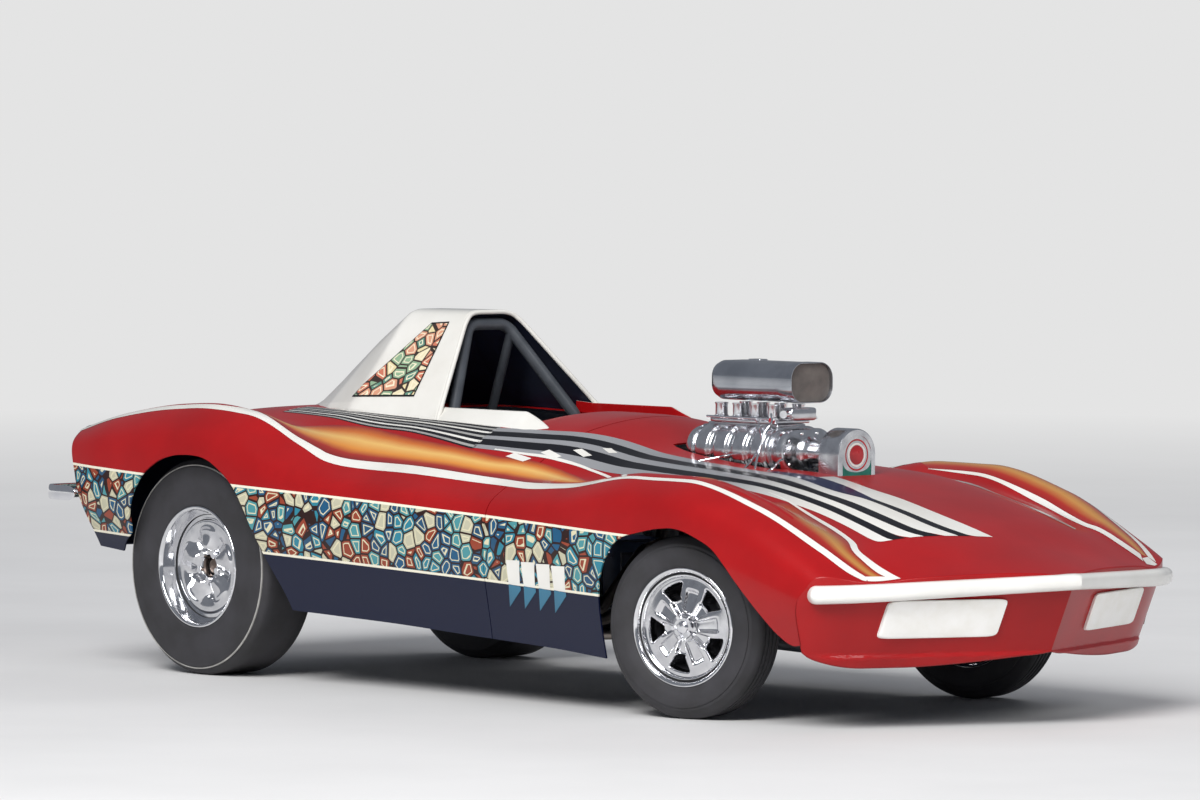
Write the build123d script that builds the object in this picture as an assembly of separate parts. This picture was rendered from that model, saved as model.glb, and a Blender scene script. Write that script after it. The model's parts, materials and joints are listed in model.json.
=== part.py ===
from build123d import *
import math
import os

# Open drag racing roadster. Millimetres, X forward, Y to the car's left, Z up.
# The origin lies on the ground under the middle of the car.

# Running gear, driving sizes
wheelbase = 2584.0
rear_axle_x = -1474.0
rear_tyre_r = 400.0
rear_tyre_w = 270.0
rear_rim_r = 218.0
rear_face_y = 808.0
front_tyre_r = 318.0
front_tyre_w = 174.0
front_rim_r = 200.0
kingpin_y = 655.0
scrub = 50.0
rest_steer = 13.0
steer_arm = 110.0
tyre_shoulder = 34.0
rim_wall = 6.0

# Body shell, driving sizes
skin = 10.0
seam_gap = 0.5
seam_back = 164.0
nose_tip_x = 2262.0
nose_slope = 0.40
nose_turn_y = 640.0
nose_mid_y = 820.0
nose_mid_drop = 37.0
nose_side_y = 880.0
nose_side_drop = 110.0
nose_lean = 0.45
nose_lean_z = 500.0
tail_x = -2246.0
tail_top_z = 884.0
tail_low_x = -2071.0
tail_low_z = 540.0

# Frame, driving sizes
rail_r = 25.0
rail_y = 330.0
rail_rear_z = 318.0
rail_front_z = 235.0
rail_rear_x = -1350.0
rail_front_ahead = 450.0
cage_r = 22.0
sheet = 4.0
fit = 0.3

# Engine, driving sizes
crank_z = 420.0
engine_setback = 490.0
block_l = 560.0
block_w = 380.0
block_top_z = 640.0
blower_l = 380.0
blower_ahead = 65.0
blower_base_z = 800.0
blower_top_z = 992.0

front_axle_x = rear_axle_x + wheelbase
engine_x = front_axle_x - engine_setback
rail_front_x = front_axle_x + rail_front_ahead

# Engine opening in the deck, and the pieces behind it that keep their distance to it
hole_behind, hole_ahead, hole_y = 290.0, 606.0, 165.0
hole_x0, hole_x1 = engine_x - hole_behind, engine_x + hole_ahead
seam_x = hole_x0 - seam_back
wall_x = seam_x - 126
wall_tube_x = wall_x + 20
rail_slope = (rail_front_z - rail_rear_z) / (rail_front_x - rail_rear_x)


def rail_z(x):
    # Height of the frame rail's centre line, which drops towards the nose.
    return rail_rear_z + rail_slope * (x - rail_rear_x)


# Body sections from tail to nose. Each row: x, deck height on the centre line,
# bulge y and z, valley y and z, crest y and z, widest y and z, sill y and z.
sections = [
    (-2300, 872, 300, 872, 560, 868, 700, 874, 800, 720, 770, 470),
    (-2000, 928, 300, 926, 560, 914, 722, 942, 856, 700, 812, 450),
    (-1650, 974, 320, 970, 560, 946, 730, 988, 876, 690, 830, 420),
    (-1474, 984, 340, 978, 560, 946, 735, 996, 876, 690, 830, 400),
    (-1250, 988, 380, 980, 570, 936, 735, 972, 872, 680, 826, 340),
    (-1000, 986, 420, 976, 580, 910, 735, 872, 860, 650, 812, 275),
    (-700, 984, 420, 968, 590, 884, 735, 802, 846, 610, 800, 262),
    (-350, 1002, 420, 958, 590, 864, 735, 778, 838, 590, 792, 250),
    (100, 1000, 410, 936, 590, 838, 735, 757, 836, 580, 790, 228),
    (500, 884, 390, 858, 590, 792, 735, 780, 850, 600, 800, 211),
    (900, 838, 380, 834, 580, 788, 735, 837, 872, 640, 816, 187),
    (1150, 826, 370, 820, 580, 776, 735, 836, 876, 640, 820, 182),
    (1500, 762, 360, 756, 580, 716, 732, 762, 876, 570, 822, 200),
    (1800, 680, 340, 670, 570, 630, 728, 622, 870, 482, 816, 214),
    (2050, 592, 320, 566, 560, 520, 716, 468, 850, 418, 800, 212),
    (2330, 500, 300, 472, 540, 410, 690, 350, 830, 330, 780, 250),
]


def section_face(row, inset, drop):
    # One closed cross section, inset by the skin and open-ended below by the drop.
    x, deck, by, bz, vy, vz, cy, cz, wy, wz, sy, sz = row
    deck, bz, vz, cz = deck - inset, bz - inset, vz - inset, cz - inset
    sy = sy - drop * (wy - sy) / (wz - sz)
    wy, sy, cy = wy - inset, sy - inset, cy - 0.3 * inset
    sz = sz - drop

    def at(y, z):
        return Vector(x, y, z)

    def half(s):
        return [
            Line(at(0, deck), at(s * by, bz)),
            Line(at(s * by, bz), at(s * vy, vz)),
            Line(at(s * vy, vz), at(s * cy, cz)),
            ThreePointArc(
                at(s * cy, cz), at(s * (cy + 0.72 * (wy - cy)), cz - 0.30 * (cz - wz)), at(s * wy, wz)),
            Line(at(s * wy, wz), at(s * sy, sz)),
        ]

    edges = half(1) + half(-1) + [Line(at(sy, sz), at(-sy, sz))]
    return Face(Wire(edges))


def prism(points, y0, y1):
    # Outline in X and Z, carried along Y.
    pairs = zip(points, points[1:] + points[:1])
    face = Face(Wire([Line((a[0], y0, a[1]), (b[0], y0, b[1])) for a, b in pairs]))
    return extrude(face, amount=y1 - y0, dir=(0, 1, 0))


def plan(points, z0, z1):
    # Outline in X and Y, carried up along Z.
    pairs = zip(points, points[1:] + points[:1])
    face = Face(Wire([Line((a[0], a[1], z0), (b[0], b[1], z0)) for a, b in pairs]))
    return extrude(face, amount=z1 - z0, dir=(0, 0, 1))


def rod(a, b, r):
    # Straight round bar from a to b.
    a, b = Vector(*a), Vector(*b)
    plane = Plane(origin=a, z_dir=(b - a))
    return extrude(plane * Circle(r), amount=(b - a).length)


def pipe(points, r, bend):
    # Round bar along straight runs joined by tangent arcs.
    path = FilletPolyline(*points, radius=bend)
    return sweep(Plane(origin=path @ 0, z_dir=path % 0) * Circle(r), path=path)


def block(x0, x1, y0, y1, z0, z1):
    return Pos((x0 + x1) / 2, (y0 + y1) / 2, (z0 + z1) / 2) * Box(x1 - x0, y1 - y0, z1 - z0)


def mirrored(shape):
    return mirror(shape, about=Plane.XZ)


def plan_edges(edges, z0, z1):
    # Closed outline of lines and arcs at the height z0, carried up along Z.
    return extrude(Face(Wire(edges)), amount=z1 - z0, dir=(0, 0, 1))


def band(points, x0, x1):
    # Outline in Y and Z, carried along X.
    pairs = zip(points, points[1:] + points[:1])
    face = Face(Wire([Line((x0, a[0], a[1]), (x0, b[0], b[1])) for a, b in pairs]))
    return extrude(face, amount=x1 - x0, dir=(1, 0, 0))


def nose_x(y):
    # Straight part of the nose line in plan.
    return nose_tip_x - nose_slope * y


# The nose line in plan: tip, start, middle and end of the rounded corner.
# Each row: y, how far it falls back from the straight line, share of an offset that goes sideways
nose_rows = [
    (0, 0, 0), (nose_turn_y, 0, 0.3), (nose_mid_y, nose_mid_drop, 0.6), (nose_side_y, nose_side_drop, 1),
]
nose_ahead, nose_ahead_loss = 1.08, 0.6


def nose_spots(out):
    # Left half of the nose line, moved outwards.
    return [(nose_x(y) - back + out * (nose_ahead - nose_ahead_loss * share), y + out * share)
            for y, back, share in nose_rows]


def nose_plan(inset):
    # Space behind the nose: a shallow V with rounded corners in plan, upright above and leaning back below.
    z, wide, back = nose_lean_z, 1000.0, -3000.0
    (x0, y0), (x1, y1), (x2, y2), (x3, y3) = nose_spots(-inset)
    edges = []
    for side in (1, -1):
        edges += [
            Line((x0, 0, z), (x1, side * y1, z)),
            ThreePointArc((x1, side * y1, z), (x2, side * y2, z), (x3, side * y3, z)),
            Line((x3, side * y3, z), (x3, side * wide, z)),
            Line((x3, side * wide, z), (back, side * wide, z)),
        ]
    edges.append(Line((back, wide, z), (back, -wide, z)))
    face = Face(Wire(edges))
    slant = nose_lean_z * math.hypot(1, nose_lean)
    return extrude(face, amount=1500, dir=(0, 0, 1)) + extrude(face, amount=slant, dir=(-nose_lean, 0, -1))


def body_solid(inset, drop):
    shape = loft([section_face(row, inset, drop) for row in sections], ruled=True)
    shape = shape & nose_plan(inset)
    run = (tail_low_x - tail_x) / (tail_top_z - tail_low_z)
    high, low = 1100.0, 200.0
    tail = [
        (tail_x + inset - run * (high - tail_top_z), high),
        (tail_low_x + inset + run * (tail_low_z - low), low),
        (3000, low - 200), (3000, high),
    ]
    return shape & prism(tail, -1000, 1000)


# Wheel arch outlines. Each row: x from the axle, z.
front_arch_rows = [
    (-313, 100), (-331, 320), (-310, 470), (-245, 580), (-184, 623), (-111, 641), (-9, 660), (92, 664),
    (193, 638), (293, 592), (418, 478), (518, 381), (593, 300), (691, 242), (740, 100),
]
rear_arch_rows = [
    (-560, 100), (-400, 440), (-318, 516), (-304, 599), (-275, 675), (-234, 732), (-169, 776), (-111, 800),
    (-23, 815), (93, 812), (180, 782), (278, 717), (353, 628), (393, 557), (468, 430), (554, 287), (620, 100),
]
front_arch = [(front_axle_x + dx, z) for dx, z in front_arch_rows]
rear_arch = [(rear_axle_x + dx, z) for dx, z in rear_arch_rows]
arch_in_y = 560.0

shell = body_solid(0, 0) - body_solid(skin, 120)
for arch in (front_arch, rear_arch):
    shell -= prism(arch, arch_in_y, 1000) + prism(arch, -1000, -arch_in_y)

# Cockpit opening and engine opening in the deck
cockpit_x0, cockpit_x1, cockpit_y = -1040.0, -110.0, 350.0
shell -= block(cockpit_x0, cockpit_x1, -cockpit_y, cockpit_y, 850, 1200)
shell -= block(hole_x0, hole_x1, -hole_y, hole_y, 700, 1100)

parts = {}
clear_x, clear_y, clear_z = 3000.0, 1000.0, 1500.0
parts["rear_body"] = shell & block(-clear_x, seam_x - seam_gap / 2, -clear_y, clear_y, 0, clear_z)
parts["front_clip"] = shell & block(seam_x + seam_gap / 2, clear_x, -clear_y, clear_y, 0, clear_z)

# Head fairing: sections from the hoop back to the point of its tail.
# Each row: x, base half width, base z, knee half width, knee z, top half width, top z
fairing_rows = [
    (-520, 425, 958, 143, 1326, 100, 1358),
    (-1078, 405, 985, 130, 1318, 85, 1353),
    (-1274, 345, 982, 105, 1205, 70, 1238),
    (-1449, 240, 978, 84, 1096, 52, 1125),
    (-1600, 110, 976, 55, 1010, 30, 1026),
    (-1690, 45, 974, 26, 978, 12, 982),
]


def fairing_solid(inset):
    faces = []
    for x, by, bz, ky, kz, ty, tz in fairing_rows:
        pts = [(by, bz - 2 * inset), (ky, kz), (ty, tz), (-ty, tz), (-ky, kz), (-by, bz - 2 * inset)]
        spots = []
        for y, z in pts:
            side = 1 if y > 0 else -1
            spots.append(Vector(x, side * max(abs(y) - inset, 4), z - (inset if z > bz else 0)))
        faces.append(Face(Wire([Line(a, b) for a, b in zip(spots, spots[1:] + spots[:1])])))
    return loft(faces, ruled=True)


hoop_low, hoop_top = (-594.0, 1030.0), (-744.0, 1360.0)
hoop_run = (hoop_top[0] - hoop_low[0]) / (hoop_top[1] - hoop_low[1])
cut_low, cut_high, cut_x, cut_y = 900.0, 1500.0, 3000.0, 600.0
front_cut = prism([
    (hoop_low[0] + hoop_run * (cut_low - hoop_low[1]), cut_low),
    (hoop_low[0] + hoop_run * (cut_high - hoop_low[1]), cut_high),
    (-cut_x, cut_high), (-cut_x, cut_low),
], -cut_y, cut_y)
fairing = (fairing_solid(0) - fairing_solid(skin)) & front_cut
fairing -= body_solid(-fit, 0)

# Coaming: a low wall on each side of the cockpit, leaning in. Each row: x, z of its top edge.
coaming_rows = [(-640, 1014), (-574, 1009), (-140, 1009), (-20, 962)]
coaming_foot_y = 425.0
coaming_foot_z, coaming_lean = 950.0, 0.57
coaming_out = [(coaming_rows[0][0], 900)] + coaming_rows + [(coaming_rows[-1][0], 900)]
coaming_side = prism(coaming_out, cockpit_y, coaming_foot_y)
lean_h, lean_l, lean_drop = 200.0, 1000.0, 60.0
outside = Pos(-300, coaming_foot_y, coaming_foot_z) * Rot(math.degrees(math.atan(coaming_lean)), 0, 0)
coaming_side -= outside * Pos(0, lean_h / 2, lean_h / 2 - lean_drop) * Box(lean_l, lean_h, 2 * lean_h)
coaming = coaming_side + mirrored(coaming_side) - body_solid(-fit, 0)
parts["roll_fairing"] = fairing + coaming

# Front bumper: a blade round the nose that drops a little towards its ends
bumper_tip_z, bumper_end_z = (474.0, 530.0), (438.0, 502.0)
bumper_t = 38.0
bumper_end_y = 888.0


def blade(out, z0, z1):
    # Half of the bumper: the nose line moved outwards, closed by straight lines inside the body.
    (x0, y0), (x1, y1), (x2, y2), (x3, y3) = nose_spots(out)
    line = [(x3, min(y3, bumper_end_y)), (x3 - bumper_t, nose_side_y - 4 * bumper_t),
            (x1 - 2 * out, nose_turn_y - bumper_t), (x0 - 2 * bumper_t, 0), (x0, 0), (x1, y1)]
    edges = [Line((*a, z0), (*b, z0)) for a, b in zip(line, line[1:])]
    edges.append(ThreePointArc((x1, y1, z0), (x2, y2, z0), (*line[0], z0)))
    return plan_edges(edges, z0, z1)


fall = [(0, bumper_tip_z), (bumper_end_y, bumper_end_z)]
half_blade = blade(bumper_t / nose_ahead, bumper_end_z[0], bumper_tip_z[1])
half_blade &= band([(y, z[0]) for y, z in fall] + [(y, z[1]) for y, z in fall[::-1]], 1500, 2500)
parts["front_bumper"] = half_blade + mirrored(half_blade) - body_solid(-fit, 0)

# Pale panels on the leaning face under the bumper
panel_y0, panel_y1, panel_z0 = 215.0, 622.0, 316.0
bumper_rise = (bumper_tip_z[0] - bumper_end_z[0]) * (1 - panel_y1 / bumper_end_y)
panel_z1 = bumper_end_z[0] + bumper_rise - fit
panel_back, panel_t = 30.0, 15.0


def lean_x(y, z):
    return nose_x(y) - nose_lean * (nose_lean_z - z)


panel_rings = []
for z in (panel_z0, panel_z1):
    spots = [(lean_x(y, z) + out, y, z) for y, out in (
        (panel_y0, -panel_back), (panel_y1, -panel_back), (panel_y1, panel_t), (panel_y0, panel_t))]
    panel_rings.append(Face(Wire([Line(a, b) for a, b in zip(spots, spots[1:] + spots[:1])])))
panel = loft(panel_rings, ruled=True) - body_solid(-fit, 0)
parts["grille_panels"] = [panel, mirrored(panel)]

# Rear bumper tips, one wrapped round each tail corner
tip_z0, tip_z1 = 618.0, 676.0
tip_pts = [
    (-2300, 640), (-2300, 846), (-2262, 882), (-2042, 882),
    (-2042, 866), (-2252, 866), (-2286, 840), (-2286, 640),
]
tip = plan(tip_pts, tip_z0, tip_z1)
tip_stay = rod((-2290, 720, 647), (-2100, 720, 647), 12)
tip = tip + tip_stay - body_solid(-fit, 0)
tip = tip.solids().sort_by(Axis.X)[0]
parts["rear_bumpers"] = [tip, mirrored(tip)]

# Two round lamps each side of the tail
lamp_r, lamp_z = 52.0, 790.0
lamp_depth = 18.0
tail_run = (tail_low_x - tail_x) / (tail_top_z - tail_low_z)
tail_lamp_x = tail_x + tail_run * (tail_top_z - lamp_z)
lamps = []
for lamp_y in (330, 520, -330, -520):
    lean = Vector(-1, 0, -tail_run).normalized()
    foot = Vector(tail_lamp_x, lamp_y, lamp_z) + lean * fit
    lamps.append(extrude(Plane(origin=foot, z_dir=lean) * Circle(lamp_r), amount=lamp_depth))
parts["tail_lamps"] = lamps

# Frame: one rail each side, kicked up at the tail
kick_x = -1720.0
rail_tail = (-1985.0, 390.0)
rail_bars = []
for side in (-1, 1):
    rail_bars.append(pipe([
        (rail_tail[0], side * rail_y, rail_tail[1]), (kick_x, side * rail_y, rail_z(kick_x)),
        (rail_front_x, side * rail_y, rail_front_z)], rail_r, 200))
parts["frame_rails"] = rail_bars
rails = rail_bars[0] + rail_bars[1]

# Cross tubes between the rails, and two that reach the sills
cross_r = 20.0
inner = body_solid(skin + fit, 120)
cross = []
for x in (-1250, -950, rail_front_x - rail_r):
    cross.append(rod((x, -rail_y, rail_z(x)), (x, rail_y, rail_z(x)), cross_r) - rails)
for x in (-700, wall_tube_x):
    cross.append((rod((x, -950, rail_z(x)), (x, 950, rail_z(x)), cross_r) & inner) - rails)
tail_bar = rod((rail_tail[0], -rail_y, rail_tail[1]), (rail_tail[0], rail_y, rail_tail[1]), cross_r) - rails

# Drilled plate on the tail tube, where a braking parachute or a push bar bolts on
chute_w, chute_h, chute_t, chute_hole_r = 160.0, 110.0, 8.0, 5.0
chute_dy, chute_dz = 120.0, 76.0
plate_x = rail_tail[0] - cross_r
tail_bar += block(plate_x - chute_t, plate_x + 6, -chute_w / 2, chute_w / 2,
                  rail_tail[1] - chute_h / 2, rail_tail[1] + chute_h / 2)
for dy in (-0.5, 0.5):
    for dz in (-0.5, 0.5):
        spot = (dy * chute_dy, rail_tail[1] + dz * chute_dz)
        tail_bar -= rod((plate_x - 40, *spot), (plate_x + 40, *spot), chute_hole_r)
cross.append(tail_bar)

# Tow eye on the front tube
tow_x, tow_r, tow_t = rail_front_x + 40, 11.0, 10.0
front_bar_x = rail_front_x - rail_r
lug = block(front_bar_x, tow_x + 24, -tow_t / 2, tow_t / 2, rail_front_z - 26, rail_front_z + 18)
lug -= rod((tow_x, -20, rail_front_z), (tow_x, 20, rail_front_z), tow_r)
cross[2] += lug
parts["crossmembers"] = [piece for bar in cross for piece in bar.solids()]

# Roll hoop inside the fairing's front edge, and its two rear braces
hoop_back = 46.0
hoop_leg_y, hoop_bend_z = 306.0, 960.0
hoop_in_y, hoop_in_z = 51.0, 24.0
hoop_knee_y, hoop_knee_z = fairing_rows[0][3] - hoop_in_y, fairing_rows[0][4] - hoop_in_z


def hoop_x(z):
    return hoop_low[0] - hoop_back + hoop_run * (z - hoop_low[1])


leg_x = hoop_x(hoop_bend_z)
leg_z = rail_z(leg_x)
knee_x = hoop_x(hoop_knee_z)
hoop_points = [
    (leg_x, -rail_y + 24, leg_z), (leg_x, -hoop_leg_y, hoop_bend_z), (knee_x, -hoop_knee_y, hoop_knee_z),
    (knee_x, hoop_knee_y, hoop_knee_z), (leg_x, hoop_leg_y, hoop_bend_z), (leg_x, rail_y - 24, leg_z)]
parts["roll_hoop"] = pipe(hoop_points, cage_r, 70) - rails - cross[3] - cross[4]
brace_top_z, brace_top_y = hoop_knee_z - 32, hoop_knee_y + 13
brace_foot_x, brace_foot_y = -1330.0, rail_y - 10
braces = []
for side in (-1, 1):
    foot = (brace_foot_x, side * brace_foot_y, rail_z(brace_foot_x))
    bar = rod((hoop_x(brace_top_z), side * brace_top_y, brace_top_z), foot, cage_r * 0.8)
    braces.append((bar - parts["roll_hoop"] - rails).solids().sort_by(SortBy.VOLUME)[-1])
parts["hoop_braces"] = braces

# Floor pan under the rails, and the firewall in front of the driver
floor_x0, floor_x1 = -1180.0, seam_x - 16
drop = rail_r + fit
floor = prism([(floor_x0, rail_z(floor_x0) - drop), (floor_x1, rail_z(floor_x1) - drop),
               (floor_x1, rail_z(floor_x1) - drop - sheet), (floor_x0, rail_z(floor_x0) - drop - sheet)],
              -rail_y - rail_r, rail_y + rail_r)
parts["floor_pan"] = floor
firewall = block(wall_x, wall_x + sheet, -700, 700, rail_z(wall_x) + rail_r + fit, 960) & inner
firewall -= block(wall_x - 9, wall_x + 9, -150, 150, 100, 560)
parts["firewall"] = firewall

# Bucket seat: pan, back and side wings from one outline
seat_w, seat_t = 440.0, 30.0
seat_z = 420.0
seat_out = [
    (-460, seat_z), (-460, seat_z + 90), (-840, seat_z + 120), (-905, 860), (-935, 860), (-880, seat_z)]
seat_in = [(-430, seat_z + seat_t + 6), (-430, 1000), (-888, 1000), (-845, seat_z + seat_t)]
seat = prism(seat_out, -seat_w / 2, seat_w / 2)
seat -= prism(seat_in, -seat_w / 2 + seat_t, seat_w / 2 - seat_t)
parts["driver_seat"] = seat
under_floor = prism([(floor_x0, rail_z(floor_x0) - drop + fit), (floor_x1, rail_z(floor_x1) - drop + fit),
                     (floor_x1, 0), (floor_x0, 0)], -400, 400)
stand = []
for side in (-1, 1):
    for x in (-830, -560):
        stand.append(block(x - 15, x + 15, side * 185 - 12, side * 185 + 12, 200, seat_z - fit) - under_floor)
parts["seat_stand"] = stand

# Engine: a plain block, its covers, manifold and the mounting plates
block_x0, block_x1 = engine_x - block_l / 2, engine_x + block_l / 2
block_low_z = 256.0
parts["engine_block"] = block(block_x0, block_x1, -block_w / 2, block_w / 2, block_low_z, block_top_z)
cover_l, cover_w, cover_h = 500.0, 130.0, 90.0
cover = Pos(engine_x, block_w / 2 + 34, block_top_z + 8) * Rot(-45, 0, 0) * Box(cover_l, cover_w, cover_h)
cover = fillet(cover.edges().filter_by(Axis.X), 16)
cover -= block(0, 2000, -block_w / 2 - fit, block_w / 2 + fit, 0, block_top_z + fit)
parts["valve_covers"] = [cover.solids()[0], mirrored(cover).solids()[0]]
blower_x0 = engine_x + blower_ahead - blower_l / 2
blower_x1 = blower_x0 + blower_l
parts["intake_manifold"] = block(blower_x0, blower_x1, -90, 90, block_top_z, blower_base_z)
plates = []
plate_t = 8.0
for x in (block_x0 - plate_t, block_x1):
    plates.append(block(x, x + plate_t, -rail_y, rail_y, rail_z(x) + rail_r + 2, 520) - rails)
parts["motor_plates"] = plates

# Blower: two-lobed case with ribs, gear cover, snout, pulleys and belt
lobe_r, lobe_y = 82.0, 51.0
blower_z = 894.0


def lobed(x0, x1, r):
    shape = rod((x0, lobe_y, blower_z), (x1, lobe_y, blower_z), r)
    shape += rod((x0, -lobe_y, blower_z), (x1, -lobe_y, blower_z), r)
    return shape + block(x0, x1, -lobe_y, lobe_y, blower_z - r, blower_z + r)


case = lobed(blower_x0, blower_x1, lobe_r)
case += block(blower_x0 + 6, blower_x1 - 6, -86, 86, blower_base_z + fit, blower_z)
case += block(blower_x0 + 6, blower_x1 - 6, -80, 80, blower_z, blower_top_z)
rib_count, rib_t, rib_h = 4, 22.0, 10.0
for i in range(rib_count):
    x = blower_x0 + (i + 0.5) * blower_l / rib_count
    case += lobed(x - rib_t / 2, x + rib_t / 2, lobe_r + rib_h)
parts["blower_case"] = case
cover_gap = fit
rear_plate = lobed(blower_x0 - 44, blower_x0 - cover_gap, lobe_r + 6)
parts["blower_rear_plate"] = rear_plate
gear_cover = lobed(blower_x1 + cover_gap, blower_x1 + 80, lobe_r + 8)
snout_l = 233.0
snout_x1 = blower_x1 + snout_l
snout_r = 52.0
gear_cover += rod((blower_x1 + 60, 0, blower_z), (snout_x1, 0, blower_z), snout_r)
pulley_w = 88.0
pulley_x0, pulley_x1 = snout_x1 + fit, snout_x1 + pulley_w
pulley_r, crank_pulley_r = 78.0, 60.0
belt_t = 7.0
parts["blower_pulley"] = rod((pulley_x0, 0, blower_z), (pulley_x1, 0, blower_z), pulley_r)
crank_pulley = rod((pulley_x0, 0, crank_z), (pulley_x1, 0, crank_z), crank_pulley_r)
crank_pulley += rod((block_x1 + plate_t + fit, 0, crank_z), (pulley_x1, 0, crank_z), 20)
parts["crank_pulley"] = crank_pulley
angle = math.asin((pulley_r - crank_pulley_r) / (blower_z - crank_z))


def belt_loop(grow):
    # Outline round both pulleys: two arcs and their common tangents.
    r1, r2 = pulley_r + grow, crank_pulley_r + grow
    c, s = math.cos(angle), math.sin(angle)
    x = pulley_x0 + 6
    a = (x, r1 * c, blower_z - r1 * s)
    b = (x, r2 * c, crank_z - r2 * s)
    am, bm = (x, -a[1], a[2]), (x, -b[1], b[2])
    edges = [
        ThreePointArc(a, (x, 0, blower_z + r1), am), Line(am, bm),
        ThreePointArc(bm, (x, 0, crank_z - r2), b), Line(b, a),
    ]
    return extrude(Face(Wire(edges)), amount=pulley_x1 - pulley_x0 - 12, dir=(1, 0, 0))


parts["drive_belt"] = belt_loop(belt_t) - belt_loop(fit / 3)

# Guard over the belt: a round top with straight sides down to the hood, and a thin plate at each end
guard_r, guard_t, guard_low_z = 93.0, 4.0, 806.0


def guard_form(x0, x1, r, low):
    return rod((x0, 0, blower_z), (x1, 0, blower_z), r) + block(x0, x1, -r, r, low, blower_z)


guard_x0, guard_x1 = snout_x1 - 10, pulley_x1 + 2.5
guard = guard_form(guard_x0, guard_x1, guard_r, guard_low_z)
guard -= guard_form(guard_x0 + guard_t, guard_x1 - 2, guard_r - guard_t, guard_low_z - 20)
guard -= rod((pulley_x0, 0, blower_z), (guard_x1 + 5, 0, blower_z), 60)
guard -= block(guard_x0 - 5, guard_x1 + 5, -200, 200, 700, guard_low_z)
parts["blower_front_cover"] = gear_cover + guard

# Injector: base with eight tubes, and the air scoop with its screen
scoop_behind, scoop_ahead = 90.0, 348.0
scoop_x0, scoop_x1 = engine_x - scoop_behind, engine_x + scoop_ahead
scoop_z0, scoop_z1 = 1068.0, 1212.0
scoop_w = 206.0
scoop_wall = 4.0
tube_r, tube_y, tube_pitch, tube_ahead = 19.0, 60.0, 90.0, 82.0
base_z = blower_top_z + fit
tube_x = engine_x + tube_ahead
injector = block(tube_x - 170, tube_x + 170, -92, 92, base_z, base_z + 16)
for i in range(4):
    for side in (-1, 1):
        x = tube_x + (i - 1.5) * tube_pitch
        injector += rod((x, side * tube_y, base_z + 8), (x, side * tube_y, scoop_z0 - fit), tube_r)
parts["injector_base"] = injector


def scoop_form(inset, x0, x1):
    mid = (scoop_z0 + scoop_z1) / 2
    face = Plane(origin=(x0, 0, mid), x_dir=(0, 1, 0), z_dir=(1, 0, 0)) * RectangleRounded(
        scoop_w - 2 * inset, scoop_z1 - scoop_z0 - 2 * inset, 58 - inset)
    return extrude(face, amount=x1 - x0)


scoop = scoop_form(0, scoop_x0, scoop_x1)
scoop -= scoop_form(scoop_wall, scoop_x0 + scoop_wall, scoop_x1 + 10)
parts["air_scoop"] = scoop
parts["scoop_screen"] = scoop_form(scoop_wall + fit, scoop_x1 - 16, scoop_x1 - 12)

# Headers: four primary pipes a side, swept down and back inside the sill
header_r = 22.0
port_z = 560.0
headers = []
for side in (-1, 1):
    flange = side * (block_w / 2 + 4 + fit)
    pipes = block(engine_x - 230, engine_x + 200, flange - 4, flange + 4, port_z - 34, port_z + 34)
    for i in range(4):
        x = engine_x - 195 + i * 120
        pipes += pipe([
            (x, side * (block_w / 2 + 7), port_z), (x - 10, side * 300, port_z - 30),
            (x - 70, side * 440, 330), (x - 150, side * 560, 262), (x - 260, side * 640, 256)], header_r, 34)
    headers.append(pipes)
parts["headers"] = headers

# Transmission and driveshaft
trans_x0 = -300.0
bell_y, bell_z, box_y, box_z, trans_low_z = 125.0, 545.0, 95.0, 480.0, 300.0
trans = block(wall_tube_x, block_x0 - plate_t - fit, -bell_y, bell_y, trans_low_z, bell_z)
trans += block(trans_x0, wall_tube_x, -box_y, box_y, trans_low_z, box_z)
parts["transmission"] = trans
shaft_z, shaft_r = 380.0, 26.0
diff_r = 140.0
parts["driveshaft"] = rod((rear_axle_x + diff_r + 30, 0, shaft_z), (trans_x0 - fit, 0, shaft_z), shaft_r)

# Rear axle: housing tube, centre casing and its saddles on the rails
axle_r = 40.0
rear_hub_in = 598.0
housing_y = rear_hub_in - fit
housing = rod((rear_axle_x, -housing_y, rear_tyre_r), (rear_axle_x, housing_y, rear_tyre_r), axle_r)
housing += rod((rear_axle_x, -70, rear_tyre_r), (rear_axle_x, 70, rear_tyre_r), diff_r)
housing += rod((rear_axle_x, 0, shaft_z), (rear_axle_x + diff_r + 30 - fit, 0, shaft_z), 44)
parts["rear_axle_housing"] = housing
saddles = []
for side in (-1, 1):
    saddle = block(rear_axle_x - 50, rear_axle_x + 50, side * rail_y - 20, side * rail_y + 20,
                   rail_z(rear_axle_x), rear_tyre_r)
    saddles.append((saddle - housing - rails).solids().sort_by(SortBy.VOLUME)[-1])
ladders = []
for side in (-1, 1):
    bar = rod((rear_axle_x + 20, side * 420, rear_tyre_r - 10), (-850, side * 385, rail_z(-850)), 14)
    ladders.append(bar - housing)
parts["rear_axle_stays"] = saddles + ladders

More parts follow.
